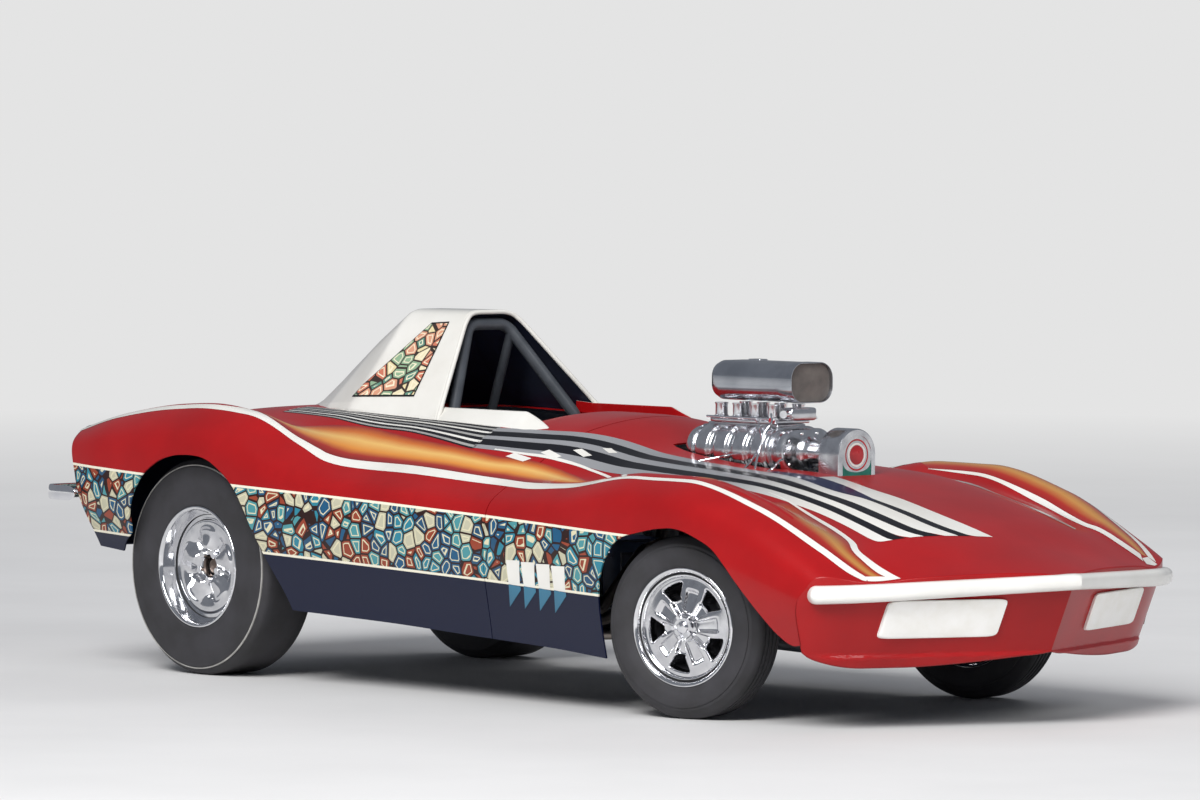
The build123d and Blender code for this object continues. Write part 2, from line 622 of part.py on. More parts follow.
# Front axle tube with its end bosses, stands on the rails, and radius rods
front_z = front_tyre_r
boss_r, boss_h = 22.0, 64.0
beam = rod((front_axle_x, -kingpin_y, front_z), (front_axle_x, kingpin_y, front_z), 24)
for side in (-1, 1):
    boss_at = (front_axle_x, side * kingpin_y)
    beam += rod((*boss_at, front_z - boss_h / 2), (*boss_at, front_z + boss_h / 2), boss_r)
    beam += block(front_axle_x - 22, front_axle_x + 22, side * rail_y - 14, side * rail_y + 14,
                  rail_z(front_axle_x) + 10, front_z)
beam -= rails
parts["front_axle"] = beam
rod_end_x = engine_x - 200
rods = []
rod_r = 12.0
for side in (-1, 1):
    rod_end = (rod_end_x, side * (rail_y + rail_r + rod_r + fit), rail_z(rod_end_x))
    bar = rod((front_axle_x, side * 400, front_z), rod_end, rod_r)
    rods.append(bar - rod((front_axle_x, side * 500, front_z), (front_axle_x, side * 300, front_z), 24 + fit))
parts["radius_rods"] = rods

# Fuel tank in the nose, on top of the frame's front tube
tank_r, tank_l = 105.0, 420.0
tank_x = rail_front_x - rail_r
tank_z = rail_z(tank_x) + cross_r + fit + tank_r
tank = rod((tank_x, -tank_l / 2, tank_z), (tank_x, tank_l / 2, tank_z), tank_r)
parts["fuel_tank"] = tank

# Steering gear: column, and the wheel that turns at its end
hub_behind, hub_z = 370.0, 800.0
wheel_hub = Vector(wall_x - hub_behind, 0, hub_z)
column_dir = Vector(-0.90, 0, 0.436).normalized()
column_foot = wheel_hub + column_dir * ((wall_x - fit - 9 - wheel_hub.X) / column_dir.X)
column = rod(tuple(column_foot), tuple(wheel_hub - column_dir * fit), 16)
column += rod((wall_x - fit - 10, 0, column_foot.Z), (wall_x - fit, 0, column_foot.Z), 36)
parts["steering_column"] = column
rim_ring = Plane(origin=wheel_hub + column_dir * 30, z_dir=column_dir) * Torus(140, 12)
spoke_set = rod(tuple(wheel_hub), tuple(wheel_hub + column_dir * 24), 30)
for i in range(3):
    turn = math.radians(90 + 120 * i)
    across = Vector(0, 1, 0) * math.cos(turn) + column_dir.cross(Vector(0, 1, 0)) * math.sin(turn)
    spoke_set += rod(tuple(wheel_hub + column_dir * 14), tuple(wheel_hub + column_dir * 30 + across * 138), 7)
parts["steering_wheel"] = rim_ring + spoke_set


# Tyres and wheels, made about their own centre with the axle along Y, outer face at +Y
def tyre(r, rim, width):
    h = width / 2
    bead, bulge = h - 22, (r + rim) / 2 - 6
    edge_y, edge_r = h - 8, r - tyre_shoulder
    tread_y = edge_y - 0.7 * tyre_shoulder
    mid = (r - 0.29 * tyre_shoulder, edge_y - 0.2 * tyre_shoulder)
    edges = [
        Line((rim, -bead), (rim, bead)),
        ThreePointArc((rim, bead), (bulge, h), (edge_r, edge_y)),
        ThreePointArc((edge_r, edge_y), mid, (r, tread_y)),
        Line((r, tread_y), (r, -tread_y)),
        ThreePointArc((r, -tread_y), (mid[0], -mid[1]), (edge_r, -edge_y)),
        ThreePointArc((edge_r, -edge_y), (bulge, -h), (rim, -bead)),
    ]
    return revolve(Face(Wire(edges)), Axis.Y)


def turned(rows):
    # Closed section of radius and outward offset, turned about the axle.
    return revolve(Face(Wire([Line(a, b) for a, b in zip(rows, rows[1:] + rows[:1])])), Axis.Y)


def spoke_form(turn, rows, y0, y1):
    # Outline of radius and sideways offset, turned to its place round the axle and carried along it.
    c, s = math.cos(math.radians(turn)), math.sin(math.radians(turn))
    spots = [(r * c - w * s, r * s + w * c) for r, w in rows]
    spots += [(r * c + w * s, r * s - w * c) for r, w in rows[::-1]]
    sides = zip(spots, spots[1:] + spots[:1])
    face = Face(Wire([Line((a[0], y0, a[1]), (b[0], y0, b[1])) for a, b in sides]))
    return extrude(face, amount=y1 - y0, dir=(0, 1, 0))


rear_centre_y = rear_face_y - rear_tyre_w / 2
rear_tyre = tyre(rear_tyre_r, rear_rim_r, rear_tyre_w)
front_tyre = tyre(front_tyre_r, front_rim_r, front_tyre_w)
plate_out = 40.0

# Rear wheel: deep rim, dished centre with five raised lobes, hub with its cap in a socket.
# Rows of the two sections: radius, outward offset.
rear_half, front_half = rear_tyre_w / 2 - 9, front_tyre_w / 2 - 10
rear_rim_rows = [
    (rear_rim_r, -rear_half), (rear_rim_r, rear_half), (210, rear_half), (206, 108), (197, 80), (190, 66),
    (186, 50), (198, 40), (205, 20), (205, -100), (rear_rim_r - rim_wall, -rear_half),
]
rear_dish_rows = [(40, 68), (130, 66), (170, 73), (192, 64), (192, 50), (120, 48), (40, 46)]
rear_hub_r, rear_socket_r, rear_cap_r = 60.0, 40.0, 27.0
rear_wheel = turned(rear_rim_rows) + turned(rear_dish_rows)
rear_hub = rod((0, rear_hub_in - rear_centre_y, 0), (0, 60, 0), rear_hub_r)
rear_wheel += rear_hub - rod((0, 22, 0), (0, 70, 0), rear_socket_r)
rear_wheel += rod((0, 20, 0), (0, 46, 0), rear_cap_r)
lobes = 5
for i in range(lobes):
    rear_wheel += spoke_form(90 + 360 / lobes * i, [(64, 16), (100, 32), (136, 34)], 60, 84)

# Front wheel: stepped rim, domed star with five windows and a channel down each spoke.
front_rim_rows = [
    (front_rim_r, -front_half), (front_rim_r, front_half), (194, front_half), (190, 68), (184, 60), (178, 62),
    (172, 56), (172, 42), (184, 36), (188, 20), (188, -50), (front_rim_r - rim_wall, -front_half),
]
front_dish_rows = [(0, 76), (34, 76), (42, 68), (100, 61), (176, 50), (176, 36), (100, 40), (0, 44)]
front_hub_r = 48.0
window_rows = [(102, 12), (152, 38)]
channel_rows = [(50, 14), (128, 22)]
front_wheel = turned(front_dish_rows)
spokes, first_window = 5, 66
for i in range(spokes):
    front_wheel -= spoke_form(first_window + 360 / spokes * i, window_rows, 0, 100)
    front_wheel -= spoke_form(first_window + 360 / spokes * (i + 0.5), channel_rows, 54, 100)
front_wheel += turned(front_rim_rows)
front_wheel += rod((0, plate_out + fit - scrub, 0), (0, 50, 0), front_hub_r)
for side, label in ((-1, "right"), (1, "left")):
    pivot = Pos(front_axle_x, side * kingpin_y, 0)
    turn = pivot * Rot(0, 0, rest_steer)

    def sided(shape):
        return mirrored(shape) if side < 0 else shape

    seat_at = Pos(rear_axle_x, side * rear_centre_y, rear_tyre_r)
    parts[f"rear_tyre_{label}"] = seat_at * sided(rear_tyre)
    parts[f"rear_wheel_{label}"] = seat_at * sided(rear_wheel)
    front_at = turn * Pos(0, side * scrub, front_z)
    parts[f"front_tyre_{label}"] = front_at * sided(front_tyre)
    parts[f"front_wheel_{label}"] = front_at * sided(front_wheel)
    # Knuckle: outer plate, two ears over and under the axle boss, and the steering arm
    ear = boss_h / 2 + fit
    knuckle = block(-26, 26, 26, plate_out, -ear - 20, ear + 20)
    for low in (-ear - 20, ear):
        knuckle += rod((0, 0, low), (0, 0, low + 20), boss_r)
        knuckle += block(-boss_r, boss_r, 0, plate_out, low, low + 20)
    arm_top = ear + 20
    knuckle += block(-steer_arm, 0, -12, 12, arm_top - 16, arm_top)
    knuckle += rod((-steer_arm, 0, arm_top - 16), (-steer_arm, 0, arm_top), 18)
    parts[f"knuckle_{label}"] = turn * Pos(0, 0, front_z) * sided(knuckle)

# Tie rod between the arms' ends, on top of them; it slides across as the wheels steer
link_h = 22.0
link_z = front_z + boss_h / 2 + fit + 20 + fit + link_h / 2
eye_x = front_axle_x - steer_arm * math.cos(math.radians(rest_steer))
eye_dy = -steer_arm * math.sin(math.radians(rest_steer))
link = rod((eye_x, -kingpin_y + eye_dy, link_z), (eye_x, kingpin_y + eye_dy, link_z), 9)
for side in (-1, 1):
    spot = (eye_x, side * kingpin_y + eye_dy)
    link += rod((*spot, link_z - link_h / 2), (*spot, link_z + link_h / 2), 15)
parts["tie_rod"] = link

os.makedirs("parts", exist_ok=True)
for name, shape in parts.items():
    if isinstance(shape, list):
        shape = Compound(children=shape)
    export_step(shape, f"parts/{name}.step")
print(len(parts), "nodes")
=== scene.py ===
import bpy
import bmesh
import json
import numpy as np
from mathutils import Matrix, Vector


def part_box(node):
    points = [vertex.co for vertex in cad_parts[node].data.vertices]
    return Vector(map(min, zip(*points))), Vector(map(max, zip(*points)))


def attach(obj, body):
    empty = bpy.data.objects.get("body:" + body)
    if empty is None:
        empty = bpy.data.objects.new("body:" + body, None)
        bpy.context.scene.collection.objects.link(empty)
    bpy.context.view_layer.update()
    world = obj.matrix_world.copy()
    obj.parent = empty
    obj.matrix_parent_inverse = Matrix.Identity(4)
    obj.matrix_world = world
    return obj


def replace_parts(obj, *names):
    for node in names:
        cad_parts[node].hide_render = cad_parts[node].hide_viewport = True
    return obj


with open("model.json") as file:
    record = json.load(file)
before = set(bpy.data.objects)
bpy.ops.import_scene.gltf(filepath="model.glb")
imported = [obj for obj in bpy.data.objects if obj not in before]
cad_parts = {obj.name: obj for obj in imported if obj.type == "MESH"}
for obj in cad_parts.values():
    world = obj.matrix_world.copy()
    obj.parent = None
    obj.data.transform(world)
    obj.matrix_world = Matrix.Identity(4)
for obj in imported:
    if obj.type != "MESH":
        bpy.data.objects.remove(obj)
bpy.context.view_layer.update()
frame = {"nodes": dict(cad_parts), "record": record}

nodes = frame["nodes"]
print("frame loaded:", len(nodes), "nodes")


# One node with its settings and its links.
def put(mat, kind, values=None, links=None, **settings):
    node = mat.node_tree.nodes.new("ShaderNode" + kind)
    for key, value in settings.items():
        setattr(node, key, value)
    for key, value in (values or {}).items():
        node.inputs[key].default_value = value
    for key, source in (links or {}).items():
        mat.node_tree.links.new(source, node.inputs[key])
    return node


# sRGB hex to linear light.
def linear(text):
    out = []
    for i in (1, 3, 5):
        c = int(text[i:i + 2], 16) / 255
        out.append(c / 12.92 if c <= 0.04045 else ((c + 0.055) / 1.055) ** 2.4)
    return out + [1.0]


def newMaterial(name, colour, roughness, metallic=0.0, **sockets):
    mat = bpy.data.materials.new(name)
    mat.use_nodes = True
    shader = mat.node_tree.nodes["Principled BSDF"]
    shader.inputs["Base Color"].default_value = linear(colour)
    shader.inputs["Roughness"].default_value = roughness
    shader.inputs["Metallic"].default_value = metallic
    for key, value in sockets.items():
        shader.inputs[key.replace("_", " ")].default_value = value
    mat.diffuse_color = linear(colour)
    return mat, shader


# Stops of a colour ramp: rows of position and sRGB hex, or a grey as a number.
def setStops(ramp, rows):
    elements = ramp.color_ramp.elements
    while len(elements) < len(rows):
        elements.new(0.5)
    for element, (at, hue) in zip(elements, rows):
        element.position = at
        element.color = linear(hue) if isinstance(hue, str) else (hue, hue, hue, 1)


def colourBy(shader, socket):
    shader.id_data.links.new(socket, shader.inputs["Base Color"])


# Two hues mixed by a cloud pattern, with a fine bump: size, grain and depth in metres.
def uneven(mat, shader, first, second, size, grain, depth, rough=None):
    spot = put(mat, "TexCoord").outputs["Object"]
    cloud = put(mat, "TexNoise", {"Scale": 1 / size, "Detail": 4.0, "Roughness": 0.55}, {"Vector": spot})
    ramp = put(mat, "ValToRGB", links={"Fac": cloud.outputs["Fac"]})
    setStops(ramp, ((0.35, first), (0.68, second)))
    colourBy(shader, ramp.outputs["Color"])
    fine = put(mat, "TexNoise", {"Scale": 1 / grain, "Detail": 2.0}, {"Vector": spot})
    bump = put(mat, "Bump", {"Strength": 0.6, "Distance": depth}, {"Height": fine.outputs["Fac"]})
    mat.node_tree.links.new(bump.outputs["Normal"], shader.inputs["Normal"])
    if rough:
        span = put(mat, "MapRange", {"To Min": rough[0], "To Max": rough[1]},
                   {"Value": cloud.outputs["Fac"]})
        mat.node_tree.links.new(span.outputs["Result"], shader.inputs["Roughness"])
    return spot, cloud


# Paint and finishes
paint = {
    "red": "#a30b0f", "redDeep": "#93080c", "navy": "#040d2c", "cream": "#ece6d2",
    "highLine": (0.6675, 0.0397), "lowLine": (0.4402, 0.0338), "pinstripe": 0.0045, "bandEnd": 1.0,
    "pebbles": ["#2f7f93", "#1d5478", "#bdb9a0", "#4b8f95", "#8f3f2a", "#274f6e"],
    "panel": ["#e3d3a3", "#d79a7c", "#8fae8c", "#e8dcb8", "#c9745a", "#5f8f7c"],
}


# Sprayed lacquer over glass fibre: a hard clear gloss, with soft orange peel.
def sprayed(name, first, second, coat=0.7, roughness=0.42, gloss=0.3, size=0.35):
    mat, shader = newMaterial(name, first, roughness, Coat_Weight=coat, Coat_Roughness=0.10,
                              Specular_IOR_Level=gloss)
    spot, cloud = uneven(mat, shader, first, second, size, 0.012, 0.00012)
    return mat, shader, spot, cloud


def lacquer(*settings):
    return sprayed(*settings)[0]


# Pebbles: closed cells with a dark outline and one pale ring, hues drawn at random from a list.
def pebbles(mat, spot, size, hues, outline, ring):
    looks = {"Scale": 1 / size, "Randomness": 0.85}
    cells, edge = (put(mat, "TexVoronoi", looks, {"Vector": spot}, feature=kind)
                   for kind in ("F1", "DISTANCE_TO_EDGE"))
    pick = put(mat, "SeparateColor", links={"Color": cells.outputs["Color"]})
    ramp = put(mat, "ValToRGB", links={"Fac": pick.outputs[0]})
    band = put(mat, "ValToRGB", links={"Fac": edge.outputs["Distance"]})
    ramp.color_ramp.interpolation = band.color_ramp.interpolation = "CONSTANT"
    setStops(ramp, [(i / len(hues), hue) for i, hue in enumerate(hues)])
    setStops(band, [(0.0, 0.0), (0.055, 0.5), (0.17, 1.0), (0.24, 0.5)])
    isFill, isRing = (put(mat, "Math", {1: over}, {0: band.outputs["Color"]}, operation="GREATER_THAN")
                      for over in (0.25, 0.75))
    ringMix = put(mat, "Mix", {7: linear(ring)}, {0: isRing.outputs[0], 6: ramp.outputs["Color"]},
                  data_type="RGBA")
    return put(mat, "Mix", {6: linear(outline)}, {0: isFill.outputs[0], 7: ringMix.outputs[2]},
               data_type="RGBA")


# Lacquered side: red over a pebbled band over navy, parted by cream pinstripes that fall towards the nose.
def sidePaint():
    mat, shader, spot, cloud = sprayed("sprayed lacquer, side colours", paint["red"], paint["redDeep"],
                                       0.35, 0.45, 0.2)
    red = shader.inputs["Base Color"].links[0].from_socket
    parts = put(mat, "SeparateXYZ", links={"Vector": spot})
    above = []
    for start, slope in (paint["highLine"], paint["lowLine"]):
        line = put(mat, "Math", {1: slope, 2: -start}, {0: parts.outputs["X"]}, operation="MULTIPLY_ADD")
        above.append(put(mat, "Math", links={0: line.outputs[0], 1: parts.outputs["Z"]}, operation="ADD"))
    ahead = put(mat, "Math", {1: paint["bandEnd"]}, {0: parts.outputs["X"]}, operation="GREATER_THAN")
    behind = put(mat, "Math", {0: 1.0}, {1: ahead.outputs[0]}, operation="SUBTRACT")
    overHigh, overLow = (put(mat, "Math", {1: 0.0}, {0: item.outputs[0]}, operation="GREATER_THAN")
                         for item in above)
    isRed = put(mat, "Math", links={0: ahead.outputs[0], 1: overHigh.outputs[0]}, operation="MAXIMUM")
    band = pebbles(mat, spot, 0.050, paint["pebbles"], "#2a1512", "#d6cfae")
    low = put(mat, "Mix", {6: linear(paint["navy"])}, {0: overLow.outputs[0], 7: band.outputs[2]},
              data_type="RGBA")
    full = put(mat, "Mix", links={0: isRed.outputs[0], 6: low.outputs[2], 7: red}, data_type="RGBA")
    for item in above:
        near = put(mat, "Math", {1: 0.0, 2: paint["pinstripe"]}, {0: item.outputs[0]}, operation="COMPARE")
        stripe = put(mat, "Math", links={0: near.outputs[0], 1: behind.outputs[0]}, operation="MULTIPLY")
        full = put(mat, "Mix", {7: linear(paint["cream"])}, {0: stripe.outputs[0], 6: full.outputs[2]},
                   data_type="RGBA")
    colourBy(shader, full.outputs[2])
    return mat


# Airbrushed flame: UV y runs across the band from its dark rim to the orange heart and back.
def flamePaint(name, rows):
    mat, shader, spot, cloud = sprayed(name, "#d88a2a", "#d88a2a", size=0.2)
    across = put(mat, "SeparateXYZ", links={"Vector": put(mat, "TexCoord").outputs["UV"]})
    waver = put(mat, "Math", {1: 0.10, 2: -0.05}, {0: cloud.outputs["Fac"]}, operation="MULTIPLY_ADD")
    level = put(mat, "Math", links={0: across.outputs["Y"], 1: waver.outputs[0]}, operation="ADD")
    ramp = put(mat, "ValToRGB", links={"Fac": level.outputs[0]})
    setStops(ramp, rows)
    colourBy(shader, ramp.outputs["Color"])
    return mat


# Hood stripes: white lacquer that turns grey towards the cowl, grey behind x 1.0 and white ahead of x 1.5.
def fadePaint():
    mat, shader, spot, cloud = sprayed("sprayed lacquer, white turning grey", "#e9e7e1", "#dcd9d1", 0.5)
    white = shader.inputs["Base Color"].links[0].from_socket
    parts = put(mat, "SeparateXYZ", links={"Vector": spot})
    share = put(mat, "MapRange", {"From Min": 1.0, "From Max": 1.5}, {"Value": parts.outputs["X"]})
    full = put(mat, "Mix", {6: linear("#8e8f92")}, {0: share.outputs["Result"], 7: white}, data_type="RGBA")
    colourBy(shader, full.outputs[2])
    return mat


def panelPaint():
    mat, shader, spot, cloud = sprayed("sprayed lacquer, pebbled panel", "#d8c9a0", "#c9b98e", size=0.1)
    colourBy(shader, pebbles(mat, spot, 0.055, paint["panel"], "#33231c", "#f0e6c8").outputs[2])
    return mat


# Metal with fine turning or brushing marks: bright, with a soft streak.
def metal(name, first, second, roughness, grain=0.004, depth=0.00004, size=0.05, spread=0.08):
    mat, shader = newMaterial(name, first, roughness, 1.0)
    uneven(mat, shader, first, second, size, grain, depth,
           (max(roughness - spread, 0.02), roughness + spread))
    return mat


# Powder coat, moulded plastic, rubber and cloth: no metal, soft sheen.
def dull(name, first, second, roughness, grain=0.002, depth=0.0002, size=0.08, **sockets):
    mat, shader = newMaterial(name, first, roughness, **sockets)
    uneven(mat, shader, first, second, size, grain, depth,
           (max(roughness - 0.1, 0.05), min(roughness + 0.1, 1.0)))
    return mat


finish = {
    # lacquered glass fibre: clear gloss over soft orange peel
    "body": sidePaint(), "fade": fadePaint(), "panel": panelPaint(),
    "ventBlue": lacquer("sprayed lacquer, steel blue", "#2c7391", "#245f7a"),
    "white": lacquer("sprayed lacquer, white", "#e9e7e1", "#dcd9d1"),
    "bumper": lacquer("sprayed lacquer, bumper white", "#efeee9", "#e2e0da"),
    "gap": lacquer("sprayed lacquer, black", "#08080d", "#0c0d16", 0.15),
    "navy": lacquer("sprayed lacquer, navy", "#0d1740", "#0a1233", 0.3),
    "silver": lacquer("sprayed lacquer, silver grey", "#a9a8a4", "#8f8e8d"),
    "flame": flamePaint("airbrushed lacquer, flame", [
        (0.0, "#7c0d0f"), (0.16, "#a02412"), (0.34, "#d98a32"), (0.6, "#e6b766"), (0.82, "#c66a22"),
        (1.0, "#8d1410")]),
    "fenderFlame": flamePaint("airbrushed lacquer, fender flame", [
        (0.0, "#8f1012"), (0.20, "#a02012"), (0.48, "#b9813f"), (0.62, "#b27a3a"), (0.84, "#a8401a"),
        (1.0, "#8f1012")]),
    # gel coat inside the shell: matt, rough from the glass mat
    "liner": dull("gel-coat liner, dark blue", "#141d33", "#1d2945", 0.6, size=0.15),
    # plated and polished metal: mirror-like, with the studio in it
    "chrome": metal("plated chrome", "#f0f0f2", "#e2e3e8", 0.07, spread=0.03, depth=0.00001),
    "wheelFace": metal("plated five-spoke casting", "#e4e4e6", "#cfd0d4", 0.12, spread=0.05, depth=0.00003),
    "wheelRim": metal("spun and plated rim", "#ececee", "#dcdde0", 0.08, spread=0.03, depth=0.00001),
    "polished": metal("polished aluminium", "#dcdcde", "#c2c3c7", 0.16, spread=0.06),
    "bright": metal("buffed cast aluminium", "#e6e7ea", "#cbccd0", 0.2, grain=0.003, depth=0.00008),
    "scoop": metal("buffed sheet aluminium", "#c9ccd2", "#b3b7be", 0.18, spread=0.06, size=0.12),
    # raw metal: soft streaks and a grainy skin
    "cast": metal("cast aluminium", "#b9babd", "#9b9da1", 0.34, grain=0.0015, depth=0.0002, spread=0.1),
    "sheet": metal("rolled aluminium sheet", "#b4b6b9", "#9c9ea2", 0.38, grain=0.002),
    "header": metal("heat-tinted steel tube", "#8f8a84", "#6d5f58", 0.4, size=0.2),
    "socket": metal("oiled steel hub", "#8a7a70", "#6d6058", 0.45),
    # enamel and paint: even colour under a low sheen
    "frame": dull("enamelled steel tube, grey", "#4b4f55", "#3d4147", 0.42),
    "iron": dull("painted iron, blue", "#26344f", "#1d2940", 0.45, grain=0.003, depth=0.0004),
    "plate": dull("painted sheet, off-white", "#fbfaf6", "#f3f1ea", 0.5),
    "capRed": dull("anodised cap, red", "#b3101c", "#8c0a14", 0.3, Coat_Weight=0.5),
    "capTeal": dull("enamelled cover, teal", "#1f7a6b", "#15604f", 0.4),
    "screen": dull("woven wire screen", "#6f6863", "#57524f", 0.6, grain=0.003, depth=0.0012),
    # near black: painted shade on the floors of the wheels' windows and hub sockets; the seal ring between
    # centre and rim uses it too
    "window": dull("shadowed steel drum", "#0d0d10", "#1a1a1e", 0.6),
    # rubber, vinyl and moulded lens: near black and matt with a mould's grain, or glossy red
    "belt": dull("ribbed rubber belt", "#18181a", "#232326", 0.7),
    "grip": dull("moulded rubber grip", "#141416", "#1f1f22", 0.6),
    "tyre": dull("moulded tyre rubber", "#2b2a2c", "#37363a", 0.72, grain=0.0016, size=0.12),
    "tyreLine": dull("painted line on rubber", "#b9b7b2", "#8f8d8a", 0.6),
    "vinyl": dull("stitched seat vinyl, black", "#17171b", "#222228", 0.55, grain=0.0022, depth=0.0003,
                  size=0.1),
    "lens": dull("moulded lamp lens, red", "#9c0d12", "#7a080c", 0.18, grain=0.004, depth=0.0006,
                 Coat_Weight=0.6),
}
print("materials made:", len(finish))


def newObject(name, data):
    piece = bpy.data.objects.new(name, data)
    bpy.context.scene.collection.objects.link(piece)
    return piece


# Mesh object at the origin from points and faces; edges sharper than the angle stay crisp.
def meshPiece(name, points, faces, mats, body, angle=35, matIndex=None, uv=None, outward=True):
    mesh = bpy.data.meshes.new(name)
    mesh.from_pydata(np.asarray(points, float).reshape(-1, 3).tolist(), [], [list(f) for f in faces])
    mesh.validate()
    for mat in (mats if isinstance(mats, (list, tuple)) else [mats]):
        mesh.materials.append(mat)
    if matIndex is not None:
        mesh.polygons.foreach_set("material_index", np.asarray(matIndex, np.int32))
    if uv is not None:
        loops = np.zeros(len(mesh.loops), np.int32)
        mesh.loops.foreach_get("vertex_index", loops)
        layer = mesh.uv_layers.new(name="UVMap")
        layer.data.foreach_set("uv", np.asarray(uv, float).reshape(-1, 2)[loops].ravel())
    if outward:
        work = bmesh.new()
        work.from_mesh(mesh)
        bmesh.ops.remove_doubles(work, verts=work.verts, dist=1e-6)
        bmesh.ops.recalc_face_normals(work, faces=work.faces)
        work.to_mesh(mesh)
        work.free()
    mesh.polygons.foreach_set("use_smooth", np.ones(len(mesh.polygons), bool))
    mesh.set_sharp_from_angle(angle=np.radians(angle))
    piece = newObject(name, mesh)
    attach(piece, body)
    return piece


# Turns a piece's faces round where most look away from an axis (0 to 2), or towards it with sign -1.
def faceTo(piece, axis, sign=1):
    if sum(p.normal[axis] for p in piece.data.polygons) * sign < 0:
        piece.data.flip_normals()


# Live wall inwards from a surface, lined with the piece's second material.
def giveWall(piece, thickness):
    wall = piece.modifiers.new("wall", "SOLIDIFY")
    wall.thickness, wall.offset, wall.material_offset = thickness, -1.0, 1


# Quads between neighbours of a grid of nu by nv points, wrapped where closed.
def gridFaces(nu, nv, closedU=False, closedV=False):
    u, v = np.meshgrid(np.arange(nu if closedU else nu - 1), np.arange(nv if closedV else nv - 1),
                       indexing="ij")
    u, v = u.ravel(), v.ravel()
    un, vn = (u + 1) % nu, (v + 1) % nv
    return np.stack([u * nv + v, un * nv + v, un * nv + vn, u * nv + vn], 1)


# Surface from a grid of points.
def surface(name, grid, mats, body="chassis", closedU=False, closedV=False, **more):
    grid = np.asarray(grid, float)
    faces = gridFaces(*grid.shape[:2], closedU, closedV).tolist()
    return meshPiece(name, grid.reshape(-1, 3), faces, mats, body, **more)


# Unit axes across a direction.
def across(direction):
    d = np.asarray(direction, float) / np.linalg.norm(direction)
    side = np.cross(d, (0, 0, 1) if abs(d[2]) < 0.9 else (1, 0, 0))
    side /= np.linalg.norm(side)
    return d, side, np.cross(d, side)


# Turned form: a profile of radius and height turned about an axis through the centre.
def turned(profile, centre, axis, steps=96):
    d, e, f = across(axis)
    profile = np.asarray(profile, float)
    turn = np.linspace(0, 2 * np.pi, steps, endpoint=False)
    ring = np.cos(turn)[:, None] * e + np.sin(turn)[:, None] * f
    along, out = profile[None, :, 1, None] * d, profile[None, :, 0, None] * ring[:, None, :]
    return np.asarray(centre, float) + along + out


# Round tube: circles of the given radius set square to a path at each of its points.
def tubeGrid(path, radius, sides=16):
    path = np.asarray(path, float)
    run = np.gradient(path, axis=0)
    run /= np.linalg.norm(run, axis=1)[:, None]
    span = path[-1] - path[0]
    guide = np.eye(3)[np.argmin(np.abs(run).max(0) if np.linalg.norm(span) < 1e-6 else np.abs(run).mean(0))]
    side = np.cross(run, guide)
    side /= np.linalg.norm(side, axis=1)[:, None]
    up = np.cross(side, run)
    turn = np.linspace(0, 2 * np.pi, sides, endpoint=False)
    radius = np.broadcast_to(radius, len(path))[:, None, None]
    circle = np.cos(turn)[None, :, None] * side[:, None] + np.sin(turn)[None, :, None] * up[:, None]
    return path[:, None, :] + radius * circle


# Polyline with rounded corners: each is a parabola between points a set distance before and after it.
def softLine(points, trim, steps=6, closed=False):
    points = np.asarray(points, float)
    before, after = np.roll(points, 1, 0), np.roll(points, -1, 0)
    if not closed:
        before[0], after[-1] = points[0], points[-1]
    a, b = before - points, after - points
    la = np.linalg.norm(a, axis=1)[:, None] + 1e-12
    lb = np.linalg.norm(b, axis=1)[:, None] + 1e-12
    trim = np.broadcast_to(trim, len(points))[:, None]
    a = points + a / la * np.minimum(trim, la * 0.49)
    b = points + b / lb * np.minimum(trim, lb * 0.49)
    t = np.linspace(0, 1, steps)[None, :, None]
    curve = (1 - t) ** 2 * a[:, None] + 2 * t * (1 - t) * points[:, None] + t ** 2 * b[:, None]
    if closed:
        return curve.reshape(-1, points.shape[1])
    return np.concatenate([points[:1], curve[1:-1].reshape(-1, points.shape[1]), points[-1:]])


# Smooth line through points (uniform Catmull-Rom), n points a span.
def through(points, n=10):
    p = np.asarray(points, float)
    p = np.concatenate([2 * p[:1] - p[1:2], p, 2 * p[-1:] - p[-2:-1]])
    t = np.linspace(0, 1, n, endpoint=False)[None, :, None]
    a, b, c, d = (p[i:len(p) - 3 + i][:, None] for i in range(4))
    curve = 0.5 * (2 * b + (c - a) * t + (2 * a - 5 * b + 4 * c - d) * t ** 2
                   + (3 * b - a - 3 * c + d) * t ** 3)
    return np.concatenate([curve.reshape(-1, p.shape[1]), p[-2:-1]])


